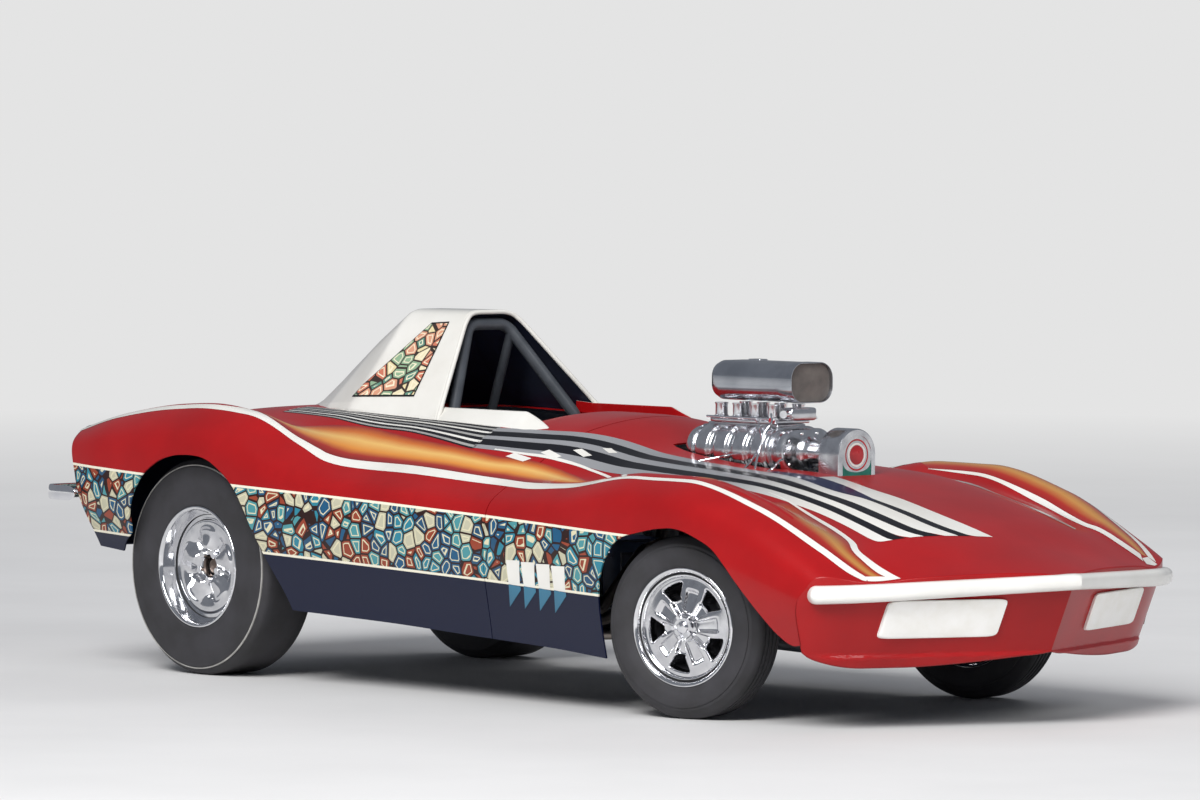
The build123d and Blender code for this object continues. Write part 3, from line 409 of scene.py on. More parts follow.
# Body skin
shell = {
    "cell": 0.016, "columns": 187, "wall": 0.006, "seamX": 0.166, "seamHalf": 0.002,
    "noseTip": 2.262, "tailX": -2.246, "tailTopZ": 0.884, "tailRun": 0.5087,
    # x, deck, bulge y z, valley y z, crest y z, widest y z, sill y z, in millimetres
    "sections": [
        (-2300, 872, 300, 872, 560, 868, 700, 874, 800, 720, 770, 470),
        (-2000, 928, 300, 926, 560, 914, 722, 942, 856, 700, 812, 450),
        (-1650, 974, 320, 970, 560, 946, 730, 988, 876, 690, 830, 420),
        (-1474, 984, 340, 978, 560, 946, 735, 996, 876, 690, 830, 400),
        (-1250, 988, 380, 980, 570, 936, 735, 972, 872, 680, 826, 340),
        (-1000, 986, 420, 976, 580, 910, 735, 872, 860, 650, 812, 275),
        (-700, 984, 420, 968, 590, 884, 735, 802, 846, 610, 800, 262),
        (-350, 1002, 420, 958, 590, 864, 735, 778, 838, 590, 792, 250),
        (100, 1000, 410, 936, 590, 838, 735, 757, 836, 580, 790, 228),
        (500, 884, 390, 858, 590, 792, 735, 780, 850, 600, 800, 211),
        (900, 838, 380, 834, 580, 788, 735, 837, 872, 640, 816, 187),
        (1150, 826, 370, 820, 580, 776, 735, 836, 876, 640, 820, 182),
        (1500, 762, 360, 756, 580, 716, 732, 762, 876, 570, 822, 200),
        (1800, 680, 340, 670, 570, 630, 728, 622, 870, 482, 816, 214),
        (2050, 592, 320, 566, 560, 520, 716, 468, 850, 418, 800, 212),
        (2330, 500, 300, 472, 540, 410, 690, 350, 830, 330, 780, 250),
    ],
    "knots": [0, 0.22, 0.38, 0.52, 0.60, 0.72, 1.0],
    "frontArch": [(797, 100), (779, 320), (800, 470), (865, 580), (926, 623), (999, 641), (1101, 660),
                  (1202, 664), (1303, 638), (1403, 592), (1528, 478), (1628, 381), (1690, 325), (1752, 292),
                  (1850, 284), (1950, 100)],
    "rearArch": [(-2034, 100), (-1874, 440), (-1792, 516), (-1778, 599), (-1749, 675), (-1708, 732),
                 (-1643, 776), (-1585, 800), (-1497, 815), (-1381, 812), (-1294, 782), (-1196, 717),
                 (-1121, 628), (-1081, 557), (-1006, 430), (-920, 287), (-854, 100)],
    "cockpit": [(-1040, -350), (-110, -350), (-110, 350), (-1040, 350)],
    "engineHole": [(400, -150), (930, -150), (930, -82), (1190, -82), (1190, 82), (930, 82), (930, 150),
                   (400, 150)],
    "noseLean": 0.45, "noseLeanZ": 0.500,
}
rows = np.array(shell["sections"], float) / 1000
knots = np.array(shell["knots"])


# Cubic between two values with their slopes: t runs from 0 to 1 over a step of width h.
def cubic(a, b, slopeA, slopeB, h, t):
    return ((2 * t ** 3 - 3 * t ** 2 + 1) * a + (t ** 3 - 2 * t ** 2 + t) * h * slopeA
            + (-2 * t ** 3 + 3 * t ** 2) * b + (t ** 3 - t ** 2) * h * slopeB)


# Monotone cubic through rows of values: slopes are weighted harmonic means, zero at a turn.
def eased(xs, ys, x):
    h = np.diff(xs)[:, None]
    d = np.diff(ys, axis=0) / h
    m = np.zeros_like(ys)
    w1, w2 = 2 * h[1:] + h[:-1], h[1:] + 2 * h[:-1]
    with np.errstate(divide="ignore", invalid="ignore"):
        mean = (w1 + w2) / (w1 / d[:-1] + w2 / d[1:])
    m[1:-1] = np.where(d[1:] * d[:-1] > 0, mean, 0)
    m[0], m[-1] = d[0], d[-1]
    i = np.clip(np.searchsorted(xs, x) - 1, 0, len(xs) - 2)
    hh = (xs[i + 1] - xs[i])[:, None]
    t = (x - xs[i])[:, None] / hh
    return cubic(ys[i], ys[i + 1], m[i], m[i + 1], hh, t)


# Point of the skin at x and v: v is 0 on the centre line, -1 and 1 on the right and left sill. The section's
# points ease along x by a monotone cubic, and a cubic through them by v gives the cross section.
def skinAt(x, v):
    x, v = np.broadcast_arrays(np.asarray(x, float), np.asarray(v, float))
    form, x, v = x.shape, x.ravel(), v.ravel()
    deck, by, bz, vy, vz, cy, cz, wy, wz, sy, sz = eased(rows[:, 0], rows[:, 1:], x).T
    ys = np.stack([0 * by, by, vy, cy, cy + 0.72 * (wy - cy), wy, sy], 1)
    zs = np.stack([deck, bz, vz, cz, cz - 0.30 * (cz - wz), wz, sz], 1)
    h = np.diff(knots)
    a = np.abs(v)
    i = np.clip(np.searchsorted(knots, a) - 1, 0, len(knots) - 2)
    r = np.arange(len(a))
    t = (a - knots[i]) / h[i]
    out = []
    for p, flat in ((ys, False), (zs, True)):
        d = np.diff(p, axis=1) / h
        m = np.zeros_like(p)
        m[:, 1:-1] = (d[:, 1:] * h[:-1] + d[:, :-1] * h[1:]) / (h[1:] + h[:-1])
        m[:, -1] = d[:, -1]
        m[:, 0] = 0 if flat else d[:, 0]
        out.append(cubic(p[r, i], p[r, i + 1], m[r, i], m[r, i + 1], h[i], t))
    return np.stack([x, np.sign(v) * out[0], out[1]], 1).reshape(form + (3,))


# Outward unit normal: the cross product of the skin's slopes along x and v.
def skinNormal(x, v):
    n = np.cross(skinAt(x + 1e-3, v) - skinAt(x - 1e-3, v), skinAt(x, v + 1e-3) - skinAt(x, v - 1e-3))
    return n / np.linalg.norm(n, axis=-1)[..., None]


# v of the skin where coordinate k (1 for y, 2 for z) has a value, by Newton steps from a first guess.
def findV(x, value, k, v, low=-1.0, high=1.0):
    for _ in range(14):
        now = skinAt(x, v)[..., k]
        slope = (skinAt(x, v + 1e-3)[..., k] - skinAt(x, v - 1e-3)[..., k]) / 2e-3
        slope = np.where(np.abs(slope) < 0.15, np.where(slope < 0, -0.15, 0.15), slope)
        v = np.clip(v - np.clip((now - value) / slope, -0.06, 0.06), low, high)
    return v


# Nose in plan: a shallow V with a rounded corner, which leans back below a height. Tail: a straight lean.
def noseX(y, z=1.0):
    a = np.abs(y)
    corner = np.clip((a - 0.64) / 0.24, 0, 0.999)
    back = shell["noseLean"] * np.maximum(shell["noseLeanZ"] - z, 0)
    return shell["noseTip"] - 0.40 * a - 0.11 * (1 - np.sqrt(1 - corner ** 2)) - back


def tailX(z):
    return shell["tailX"] + shell["tailRun"] * (shell["tailTopZ"] - z)


# Grid lines squeezed so that the last ones lie on the nose and the tail.
def trimmed(x0, v):
    x = x0.copy()
    front = np.clip((x0 - 1.4) / (shell["noseTip"] - 1.4), 0, 1) ** 2
    back = np.clip((x0 + 1.7) / (shell["tailX"] + 1.7), 0, 1) ** 2
    for _ in range(12):
        p = skinAt(x, v)
        x = (x0 + front * (noseX(p[..., 1], p[..., 2]) - shell["noseTip"])
             + back * (tailX(p[..., 2]) - shell["tailX"]))
    return x


# Distance from points to a closed outline, negative inside, and the nearest point of the outline.
def toOutline(points, outline):
    a, b = outline, np.roll(outline, -1, 0)
    e = b - a
    w = points[:, None] - a[None]
    t = np.clip((w * e).sum(2) / (e * e).sum(1), 0, 1)
    near = a[None] + t[..., None] * e[None]
    far = np.linalg.norm(points[:, None] - near, axis=2)
    k = far.argmin(1)
    r = np.arange(len(points))
    cross = ((a[None, :, 1] > points[:, None, 1]) != (b[None, :, 1] > points[:, None, 1]))
    with np.errstate(divide="ignore", invalid="ignore"):
        at = a[None, :, 0] + (points[:, None, 1] - a[None, :, 1]) / e[None, :, 1] * e[None, :, 0]
    inside = (cross & (points[:, None, 0] < at)).sum(1) % 2 == 1
    return np.where(inside, -far[r, k], far[r, k]), near[r, k]


openings = [
    (through(np.array(shell["frontArch"]) / 1000, 8), 2),
    (through(np.array(shell["rearArch"]) / 1000, 8), 2),
    (softLine(np.array(shell["cockpit"]) / 1000, 0.06, 6, True), 1),
    (softLine(np.array(shell["engineHole"]) / 1000, 0.02, 6, True), 1),
]


# Skin between two x with its openings: grid points next to an outline move onto it, and faces inside it are
# dropped.
def skinPiece(name, x0, x1):
    nu = int(round((x1 - x0) / shell["cell"])) + 1
    x, v = np.meshgrid(np.linspace(x0, x1, nu), np.linspace(-1, 1, shell["columns"]), indexing="ij")
    x = trimmed(x, v)
    state = np.ones(x.shape, int)  # 1 outside the openings, 0 on an outline, -1 inside
    for outline, k in openings:
        p = skinAt(x, v)
        flat = np.stack([p[..., 0], p[..., k]], -1)
        low, high = outline.min(0) - 0.05, outline.max(0) + 0.05
        near = ((flat > low) & (flat < high)).all(-1) & ((np.abs(v) > 0.5) if k == 2 else (np.abs(v) < 0.5))
        if not near.any():
            continue
        gap = np.full(x.shape, 9.0)
        spot = np.zeros(x.shape + (2,))
        gap[near], spot[near] = toOutline(flat[near], outline)
        snap = np.zeros(x.shape, bool)
        for axis in (0, 1):
            a, b = [slice(None)] * 2, [slice(None)] * 2
            a[axis], b[axis] = slice(None, -1), slice(1, None)
            a, b = tuple(a), tuple(b)
            crossing = gap[a] * gap[b] < 0
            first = np.abs(gap[a]) <= np.abs(gap[b])
            snap[a] |= crossing & first
            snap[b] |= crossing & ~first
        low, high = (-0.5, 0.5) if k == 1 else (0.5, 1.0)
        side = np.sign(v[snap]) if k == 2 else 1.0
        x[snap] = spot[snap][:, 0]
        v[snap] = side * findV(x[snap], spot[snap][:, 1], k, side * v[snap], low, high)
        state[(gap < 0) & ~snap] = -1
        state[snap & (state > 0)] = 0
    points, normals = skinAt(x, v).reshape(-1, 3), skinNormal(x, v).reshape(-1, 3)
    quads = gridFaces(*x.shape)
    s = state.ravel()[quads]
    inside = (s < 0).sum(1)
    whole = quads[(inside == 0) & (s > 0).any(1)]
    part = quads[(inside == 1)]
    hole = (state.ravel()[part] < 0).argmax(1)
    three = np.stack([part[np.arange(len(part)), (hole + i) % 4] for i in (1, 2, 3)], 1)
    three = three[(state.ravel()[three] > 0).any(1)]
    faces = whole.tolist() + three.tolist()
    edges = np.concatenate([whole[:, [0, 1]], whole[:, [1, 2]], whole[:, [2, 3]], whole[:, [3, 0]],
                            three[:, [0, 1]], three[:, [1, 2]], three[:, [2, 0]]])
    n = len(points)
    code, back = edges[:, 0] * n + edges[:, 1], edges[:, 1] * n + edges[:, 0]
    rim = edges[~np.isin(code, back)]
    inner = points - normals * shell["wall"]
    allFaces = faces + [[i + n for i in f[::-1]] for f in faces] + [[b, a, a + n, b + n] for a, b in rim]
    index = [0] * len(faces) + [1] * len(faces) + [0] * len(rim)
    used = np.unique(np.concatenate([np.array(f) for f in allFaces]))
    place = np.full(2 * n, -1)
    place[used] = np.arange(len(used))
    allFaces = [place[f] for f in allFaces]
    points = np.concatenate([points, inner])[used]
    return meshPiece(name, points, allFaces, bodyWall, "chassis", 38, index, outward=False)


bodyWall = [finish["body"], finish["liner"]]
rearSkin = skinPiece("rear_body_skin", shell["tailX"], shell["seamX"] - shell["seamHalf"])
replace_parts(rearSkin, "rear_body")
frontSkin = skinPiece("front_clip_skin", shell["seamX"] + shell["seamHalf"], shell["noseTip"])
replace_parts(frontSkin, "front_clip")

# Lap strip: a dark flange behind the gap between the two bodies, so that no light shows through it
lapX, lapV = np.meshgrid(shell["seamX"] + np.array([-0.012, 0.012]), np.linspace(-0.99, 0.99, 81),
                         indexing="ij")
lapGrid = skinAt(lapX, lapV) - skinNormal(lapX, lapV) * (shell["wall"] + 0.0006)
surface("seam_lap_strip", lapGrid, finish["liner"], outward=False)
print("body skins made")


# Chin: a small lip, and a lower corner that is rounded from a share of the half width to the face's end at v.
chin = {"v": 0.92, "from": 0.76, "lipTop": 0.262, "lipEnd": 0.80, "lipOut": 0.014, "notch": 0.045}


# End faces: rows run from the rim over the top down to the rim below, columns from right to left. The rim's
# top runs to the section's widest point, and its lower corners turn over the last share of the half width.
def endFace(name, rimX, bottom, front, cornerV=1.0):
    topV, turnAt = knots[-2], 0.86
    s = np.linspace(-1, 1, 121) + 1e-6
    top = skinAt(rimX(s * topV), s * topV)
    lowV = cornerV - (cornerV - topV) * np.clip((np.abs(s) - turnAt) / (1 - turnAt), 0, 1)
    sill = skinAt(rimX(np.sign(s) * lowV), np.sign(s) * lowV)
    share = np.clip(np.abs(s) / turnAt, 0, 1)
    low = np.where((np.abs(s) < turnAt)[:, None],
                   np.stack([0 * s, sill[:, 1] * share, bottom(sill, share)], 1), sill)
    w = np.linspace(0, 1, 48)[:, None, None]
    grid = top[None] * (1 - w) + low[None] * w
    if front:
        lip = np.clip((chin["lipTop"] - grid[..., 2]) / 0.012, 0, 1)
        lip *= np.clip((chin["lipEnd"] - np.abs(grid[..., 1])) / 0.04, 0, 1)
        grid[..., 0] = noseX(grid[..., 1], grid[..., 2]) + chin["lipOut"] * lip
    else:
        grid[..., 0] = tailX(grid[..., 2])
    piece = surface(name, grid, bodyWall)
    faceTo(piece, 0, 1 if front else -1)
    giveWall(piece, shell["wall"])


def noseRim(v):
    return trimmed(np.full(np.shape(v), shell["noseTip"]), v)


def tailRim(v):
    return trimmed(np.full(np.shape(v), shell["tailX"]), v)


chinEnds = np.array([chin["v"], 1.0])
chin["rise"] = -float(np.diff(skinAt(noseRim(chinEnds), chinEnds)[:, 2])[0])


def noseBottom(sill, share):
    out = np.clip((share - chin["from"]) / (1 - chin["from"]), 0, 1)
    notch = chin["notch"] * np.clip(1 - share / 0.6, 0, 1) ** 1.5
    return sill[:, 2] - chin["rise"] * np.sqrt(1 - out ** 2) + notch


endFace("nose_face", noseRim, noseBottom, True, chin["v"])
endFace("tail_face", tailRim, lambda sill, share: sill[:, 2], False)


# Painted graphics, laid on the skin as thin films
film = {"lift": 0.0009}


# Film between two lines of (x, y) seen from above: points are lerped across, then found on the skin.
def topFilm(name, first, second, mat, steps=90, rowsAcross=5, lift=1.0, side=1):
    a, b = even(first, steps), even(second, steps)
    w = np.linspace(0, 1, rowsAcross)[None, :, None]
    flat = a[:, None] * (1 - w) + b[:, None] * w
    flat[..., 0] = np.minimum(flat[..., 0], noseX(flat[..., 1]) - 0.004)
    flat[..., 1] *= side
    guess = np.interp(np.abs(flat[..., 1]), [0, 0.38, 0.58, 0.735, 0.80], knots[:5])
    guess *= np.sign(flat[..., 1])
    v = findV(flat[..., 0], flat[..., 1], 1, guess)
    return filmPiece(name, flat[..., 0], v, mat, lift)


def filmPiece(name, x, v, mat, lift=1.0):
    grid = skinAt(x, v) + skinNormal(x, v) * film["lift"] * lift
    nu, nv = x.shape
    u, w = np.meshgrid(np.linspace(0, 1, nu), np.linspace(0, 1, nv), indexing="ij")
    piece = surface(name, grid, mat, uv=np.stack([u, w], -1), outward=False)
    faceTo(piece, 2)
    return piece


# Points spaced evenly along a smooth line through the given ones.
def even(points, steps):
    p = through(points, 12) if len(points) > 2 else np.asarray(points, float)
    s = np.concatenate([[0], np.cumsum(np.linalg.norm(np.diff(p, axis=0), axis=1))])
    t = np.linspace(0, s[-1], steps)
    return np.stack([np.interp(t, s, p[:, k]) for k in range(p.shape[1])], 1)


hoodEnd = (1.925, 0.21)
# Hood stripes on the right: y of the lower and upper edge at these x, the last on the slanted end line.
hood = {
    "x": [-0.20, 0.10, 0.40, 0.80, 1.20, 1.38, 1.50, 1.66, 1.80, 1.90],
    "a": ([-0.552, -0.545, -0.519, -0.515, -0.505, -0.502, -0.500, -0.506, -0.510, -0.490],
          [-0.534, -0.519, -0.472, -0.462, -0.460, -0.457, -0.457, -0.461, -0.458, -0.446]),
    "b": ([-0.505, -0.480, -0.420, -0.420, -0.430, -0.425, -0.422, -0.424, -0.415, -0.394],
          [-0.487, -0.454, -0.375, -0.370, -0.395, -0.390, -0.386, -0.380, -0.358, -0.323]),
    "c": ([-0.458, -0.415, -0.322, -0.310, -0.345, -0.352, -0.340, -0.332, -0.310, -0.256],
          [-0.430, -0.378, -0.265, -0.250, -0.290, -0.302, -0.264, -0.249, -0.229, -0.185]),
    "d": ([-0.180, -0.180, -0.180, -0.180, -0.195, -0.205, -0.228, -0.208, -0.183, -0.135],
          [-0.090, -0.090, -0.090, -0.090, -0.120, -0.126, -0.108, -0.096, -0.072, -0.046]),
}


# Edge of a stripe as (x, y) rows from a first x; the last row lies on the end line.
def hoodEdge(ys, first):
    xs = [x for x in hood["x"][:-1] if x > first]
    rowsOut = [(first, float(np.interp(first, hood["x"], ys)))] + [(x, ys[hood["x"].index(x)]) for x in xs]
    return np.array(rowsOut + [(hoodEnd[0] + hoodEnd[1] * ys[-1], ys[-1])])


starts = {"a": -0.205, "b": -0.205, "c": -0.205, "d": 1.205}
for label in "abcd":
    lower, upper = (even(hoodEdge(hood[label][k], starts[label]), 200) for k in (0, 1))
    tip = np.clip((200 - np.arange(200)) / 8, 0, 1)[:, None]
    lower = lower + (upper - lower) * 0.45 * (1 - np.sqrt(1 - (1 - tip) ** 2))
    topFilm("hood_stripe_" + label, lower, upper, finish["fade"], 200, 5)
for first, second in ("ab", "bc", "cd"):
    edges = hoodEdge(hood[first][1], starts[second]), hoodEdge(hood[second][0], starts[second])
    topFilm("hood_gap_" + first + second, *edges, finish["gap"], 200, 5)
topFilm("hood_navy", [(1.02, -0.215), (1.20, -0.200), (1.38, -0.207), (1.53, -0.232)],
        [(1.02, -0.262), (1.20, -0.290), (1.38, -0.302), (1.53, -0.250)], finish["navy"], 60, 5, 1.3)
print("hood stripes made")

# Fender lines by side: the white line's edges, the inner line's edges, and the bar across their front ends.
fender = {
    "right": {
        "outer": [(0.70, -0.764), (0.944, -0.776), (1.096, -0.776), (1.35, -0.779), (1.53, -0.781),
                  (1.613, -0.778), (1.716, -0.772), (1.815, -0.762), (1.907, -0.746), (1.975, -0.711)],
        "outerIn": [(0.70, -0.742), (0.922, -0.758), (1.138, -0.757), (1.279, -0.760), (1.41, -0.759),
                    (1.52, -0.759), (1.625, -0.754), (1.742, -0.742), (1.837, -0.730), (1.907, -0.714),
                    (1.962, -0.692)],
        "innerOut": [(1.25, -0.481), (1.307, -0.487), (1.396, -0.508), (1.553, -0.553), (1.679, -0.579),
                     (1.768, -0.601), (1.838, -0.643), (1.893, -0.649), (1.953, -0.644), (1.996, -0.628)],
        "innerIn": [(1.25, -0.479), (1.30, -0.483), (1.387, -0.496), (1.544, -0.533), (1.659, -0.552),
                    (1.739, -0.568), (1.793, -0.584), (1.844, -0.615), (1.908, -0.616), (1.967, -0.606),
                    (2.03, -0.590)],
        "cross": ([(1.955, -0.694), (1.975, -0.650), (1.992, -0.622)],
                  [(1.985, -0.706), (2.02, -0.640), (2.04, -0.590)]),
        "flameEnd": [(1.22, -0.70), (1.30, -0.58)],
    },
    "left": {
        "outer": [(0.70, 0.775), (1.10, 0.776), (1.50, 0.780), (1.716, 0.776), (1.85, 0.765), (1.91, 0.750),
                  (1.95, 0.730)],
        "outerIn": [(0.70, 0.758), (1.10, 0.755), (1.50, 0.757), (1.70, 0.748), (1.85, 0.735), (1.93, 0.712)],
        "innerOut": [(0.90, 0.648), (1.133, 0.652), (1.314, 0.641), (1.492, 0.629), (1.618, 0.613),
                     (1.718, 0.610), (1.768, 0.632), (1.859, 0.648), (1.925, 0.676)],
        "innerIn": [(0.90, 0.646), (1.033, 0.640), (1.194, 0.636), (1.342, 0.621), (1.526, 0.593),
                    (1.66, 0.572), (1.741, 0.578), (1.787, 0.600), (1.891, 0.612), (1.975, 0.640)],
        "cross": ([(1.93, 0.71), (1.95, 0.66)], [(1.97, 0.725), (1.99, 0.640)]),
    },
}
near = fender["right"]
near["flame"] = near["outerIn"][2:], near["flameEnd"] + near["innerOut"][2:]
fender["left"]["flame"] = fender["left"]["innerOut"], fender["left"]["outerIn"]
for label, part in fender.items():
    topFilm("fender_line_" + label, part["outer"], part["outerIn"], finish["white"])
    topFilm("fender_inner_line_" + label, part["innerOut"], part["innerIn"], finish["white"], lift=1.2)
    topFilm("fender_cross_" + label, *part["cross"], finish["white"], 20, 4, 1.1)
    topFilm("fender_flame_" + label, *part["flame"], finish["fenderFlame"], 110, 9, 0.5)
topFilm("hood_stripe_left", [(1.05, 0.600), (1.222, 0.578), (1.463, 0.502), (1.63, 0.490), (1.80, 0.481)],
        [(1.05, 0.597), (1.25, 0.548), (1.44, 0.465), (1.60, 0.450), (1.72, 0.446), (1.815, 0.462)],
        finish["silver"])

waist = {
    "outer": [(-1.083, -0.724), (-0.953, -0.730), (-0.843, -0.742), (-0.756, -0.742), (-0.344, -0.722),
              (0.079, -0.721), (0.321, -0.745), (0.455, -0.752), (0.70, -0.764)],
    "inner": [(-1.29, -0.69), (-1.2, -0.69), (-1.049, -0.695), (-0.885, -0.705), (-0.793, -0.708),
              (-0.389, -0.683), (0.039, -0.686), (0.263, -0.700), (0.433, -0.712), (0.70, -0.738)],
    "flame": [(-1.29, -0.68), (-1.209, -0.66), (-1.1, -0.55), (-0.87, -0.52), (-0.549, -0.545),
              (-0.245, -0.56), (-0.027, -0.575), (0.117, -0.568), (0.307, -0.575), (0.44, -0.600),
              (0.60, -0.690), (0.70, -0.730)],
    "thinUp": [(-0.103, -0.543), (0.054, -0.540), (0.198, -0.527), (0.356, -0.520), (0.52, -0.545),
               (0.66, -0.640), (0.82, -0.745)],
    "thinLow": [(-0.103, -0.548), (0.074, -0.550), (0.217, -0.540), (0.370, -0.533), (0.52, -0.560),
                (0.65, -0.655), (0.80, -0.750)],
}
crest = {
    "outer": [(-2.255, -0.737), (-2.00, -0.743), (-1.82, -0.748), (-1.63, -0.753), (-1.45, -0.756),
              (-1.34, -0.750), (-1.24, -0.741)],
    "inner": [(-2.255, -0.713), (-2.00, -0.717), (-1.80, -0.721), (-1.60, -0.727), (-1.45, -0.729),
              (-1.36, -0.720), (-1.27, -0.700)],
}
for side, label in ((1, "right"), (-1, "left")):
    topFilm("waist_line_" + label, crest["outer"] + waist["outer"], crest["inner"] + waist["inner"][2:],
            finish["white"], 200, 4, side=side)
    topFilm("waist_flame_" + label, waist["inner"], waist["flame"], finish["flame"], 120, 11, 0.5, side)
    topFilm("waist_thin_" + label, waist["thinUp"], waist["thinLow"], finish["white"], 90, 3, 1.2, side)

deckBand = {
    "upper": [(-1.409, -0.315), (-1.10, -0.385), (-0.648, -0.405), (-0.315, -0.410), (-0.205, -0.408)],
    "lower": [(-1.426, -0.428), (-0.879, -0.512), (-0.578, -0.520), (-0.252, -0.554), (-0.205, -0.554)],
    "lines": 6, "slant": 0.022,
    "dashes": [(-0.015, 0.090, -0.560), (0.122, 0.200, -0.515), (0.234, 0.300, -0.460),
               (0.312, 0.358, -0.390)],
}
upper, lower = even(deckBand["upper"], 120), even(deckBand["lower"], 120)
slant = deckBand["slant"]
for side, label in ((1, "right"), (-1, "left")):
    topFilm("deck_band_" + label, upper, lower, finish["gap"], 120, 7, 0.6, side)
    for i in range(deckBand["lines"]):
        a, b = (i + 0.30) / deckBand["lines"], (i + 0.72) / deckBand["lines"]
        topFilm("deck_stripe_%d_%s" % (i, label), upper * (1 - a) + lower * a, upper * (1 - b) + lower * b,
                finish["silver"] if i % 2 else finish["white"], 120, 3, 1.0, side)
    for i, (x0, x1, y) in enumerate(deckBand["dashes"]):
        topFilm("deck_dash_%d_%s" % (i, label), [(x0, y - slant / 2), (x1, y - slant)],
                [(x0 + slant, y + slant / 2), (x1 + slant, y)], finish["white"], 12, 3, 1.4, side)


# Points spread evenly between four corners: nu along the first side, nv across.
def between(corners, nu, nv):
    a, b, c, d = np.array(corners)
    s, t = np.meshgrid(np.linspace(0, 1, nu), np.linspace(0, 1, nv), indexing="ij")
    s, t = s[..., None], t[..., None]
    return (a * (1 - s) + b * s) * (1 - t) + (d * (1 - s) + c * s) * t


# Painted vents on the flank: a white slot with a steel-blue point below, each corner as x and z on the skin.
def sideFilm(name, corners, mat, side):
    flat = between(corners, 8, 12)
    v = findV(flat[..., 0], flat[..., 1], 2, np.full(flat.shape[:2], -0.85), -0.99, -0.62)
    piece = filmPiece(name, flat[..., 0], v * side, mat, 1.3)
    faceTo(piece, 1, -side)


vent = {
    "count": 4, "pitch": 0.0827, "fall": -0.0027,
    "slot": [(0.294, 0.513), (0.368, 0.514), (0.359, 0.424), (0.297, 0.428)],
    "point": [(0.297, 0.427), (0.361, 0.422), (0.361, 0.410), (0.287, 0.346)],
}
for side, label in ((1, "right"), (-1, "left")):
    for i in range(vent["count"]):
        move = np.array([i * vent["pitch"], i * vent["fall"]])
        sideFilm("vent_slot_%d_%s" % (i, label), np.array(vent["slot"]) + move, finish["white"], side)
        sideFilm("vent_point_%d_%s" % (i, label), np.array(vent["point"]) + move, finish["ventBlue"], side)
print("waist, deck and vent graphics made")


# Rings round a form, capped at both ends.
solid = {"closedV": True, "caps": True}


# Several grids in one piece. Each part: a grid with its closed directions, caps and material number.
def many(name, parts, mats, body="chassis", angle=35):
    points, faces, index, start = [], [], [], 0
    for grid, form in parts:
        grid = np.asarray(grid, float)
        nu, nv = grid.shape[:2]
        new = (gridFaces(nu, nv, form.get("closedU", False), form.get("closedV", False)) + start).tolist()
        if form.get("caps"):
            new += [list(range(start, start + nv))[::-1],
                    list(range(start + (nu - 1) * nv, start + nu * nv))]
        points.append(grid.reshape(-1, 3))
        faces += new
        index += [form.get("mat", 0)] * len(new)
        start += nu * nv
    return meshPiece(name, np.concatenate(points), faces, mats, body, angle, index)


def bar(path, radius, sides=16, mat=0):
    return tubeGrid(path, radius, sides), dict(solid, mat=mat)


def lathe(profile, centre, axis, steps=72, mat=0, caps=False):
    grid = turned(profile, centre, axis, steps)
    if caps:
        return np.swapaxes(grid, 0, 1), dict(solid, mat=mat)
    return grid, {"closedU": True, "closedV": True, "mat": mat}


# Ring of points at one x.
def ringAt(x, y, z):
    return np.column_stack([np.full(len(y), x), y, z])


# Cosine and sine squeezed towards a square by a power below one.
def squared(t, power):
    return [np.sign(wave) * np.abs(wave) ** power for wave in (np.cos(t), np.sin(t))]


# Head fairing
fairing = {
    # x, base half width and height, knee half width and height, top half width and height
    "rows": [(-0.520, 0.425, 0.958, 0.143, 1.326, 0.100, 1.358),
             (-1.078, 0.405, 0.985, 0.130, 1.318, 0.085, 1.353),
             (-1.274, 0.345, 0.982, 0.105, 1.205, 0.070, 1.238),
             (-1.449, 0.240, 0.978, 0.084, 1.096, 0.052, 1.125),
             (-1.600, 0.110, 0.976, 0.055, 1.010, 0.030, 1.026),
             (-1.690, 0.045, 0.974, 0.026, 0.978, 0.012, 0.982)],
    "hoopLow": (-0.594, 1.030), "hoopTop": (-0.744, 1.360), "wall": 0.006, "foot": 0.06, "deckZ": 0.98,
    "tailX": -1.690,
    "panel": [(-0.905, 1.300), (-0.812, 1.306), (-0.766, 1.048), (-1.105, 1.036)],
}
fairRows = np.array(fairing["rows"])
hoopSlope = (fairing["hoopTop"][0] - fairing["hoopLow"][0]) / (fairing["hoopTop"][1] - fairing["hoopLow"][1])


def fairRow(x):
    return [np.interp(-x, -fairRows[:, 0], fairRows[:, k]) for k in range(1, 7)]


# One station: base, foot, knee, top and ridge on a plane that leans as the hoop does, less towards the tail.
def fairStation(xBase, lean):
    points = []
    for kind in range(4):
        z = fairing["deckZ"]
        for _ in range(4):
            x = xBase + lean * (z - fairing["deckZ"])
            by, bz, ky, kz, ty, tz = fairRow(x)
            foot = fairing["foot"]
            y, z = ((by + 0.004, bz - 0.012), (by + (ky - by) * foot, bz + (kz - bz) * foot), (ky, kz),
                    (ty, tz))[kind]
        points.append((x, y, z))
    points.append((points[-1][0], 0.0, points[-1][2] - 0.0002))
    half = softLine(points, [0, 0.012, 0.035, 0.05, 0], 7)
    return np.concatenate([half * (1, -1, 1), half[-2::-1]])


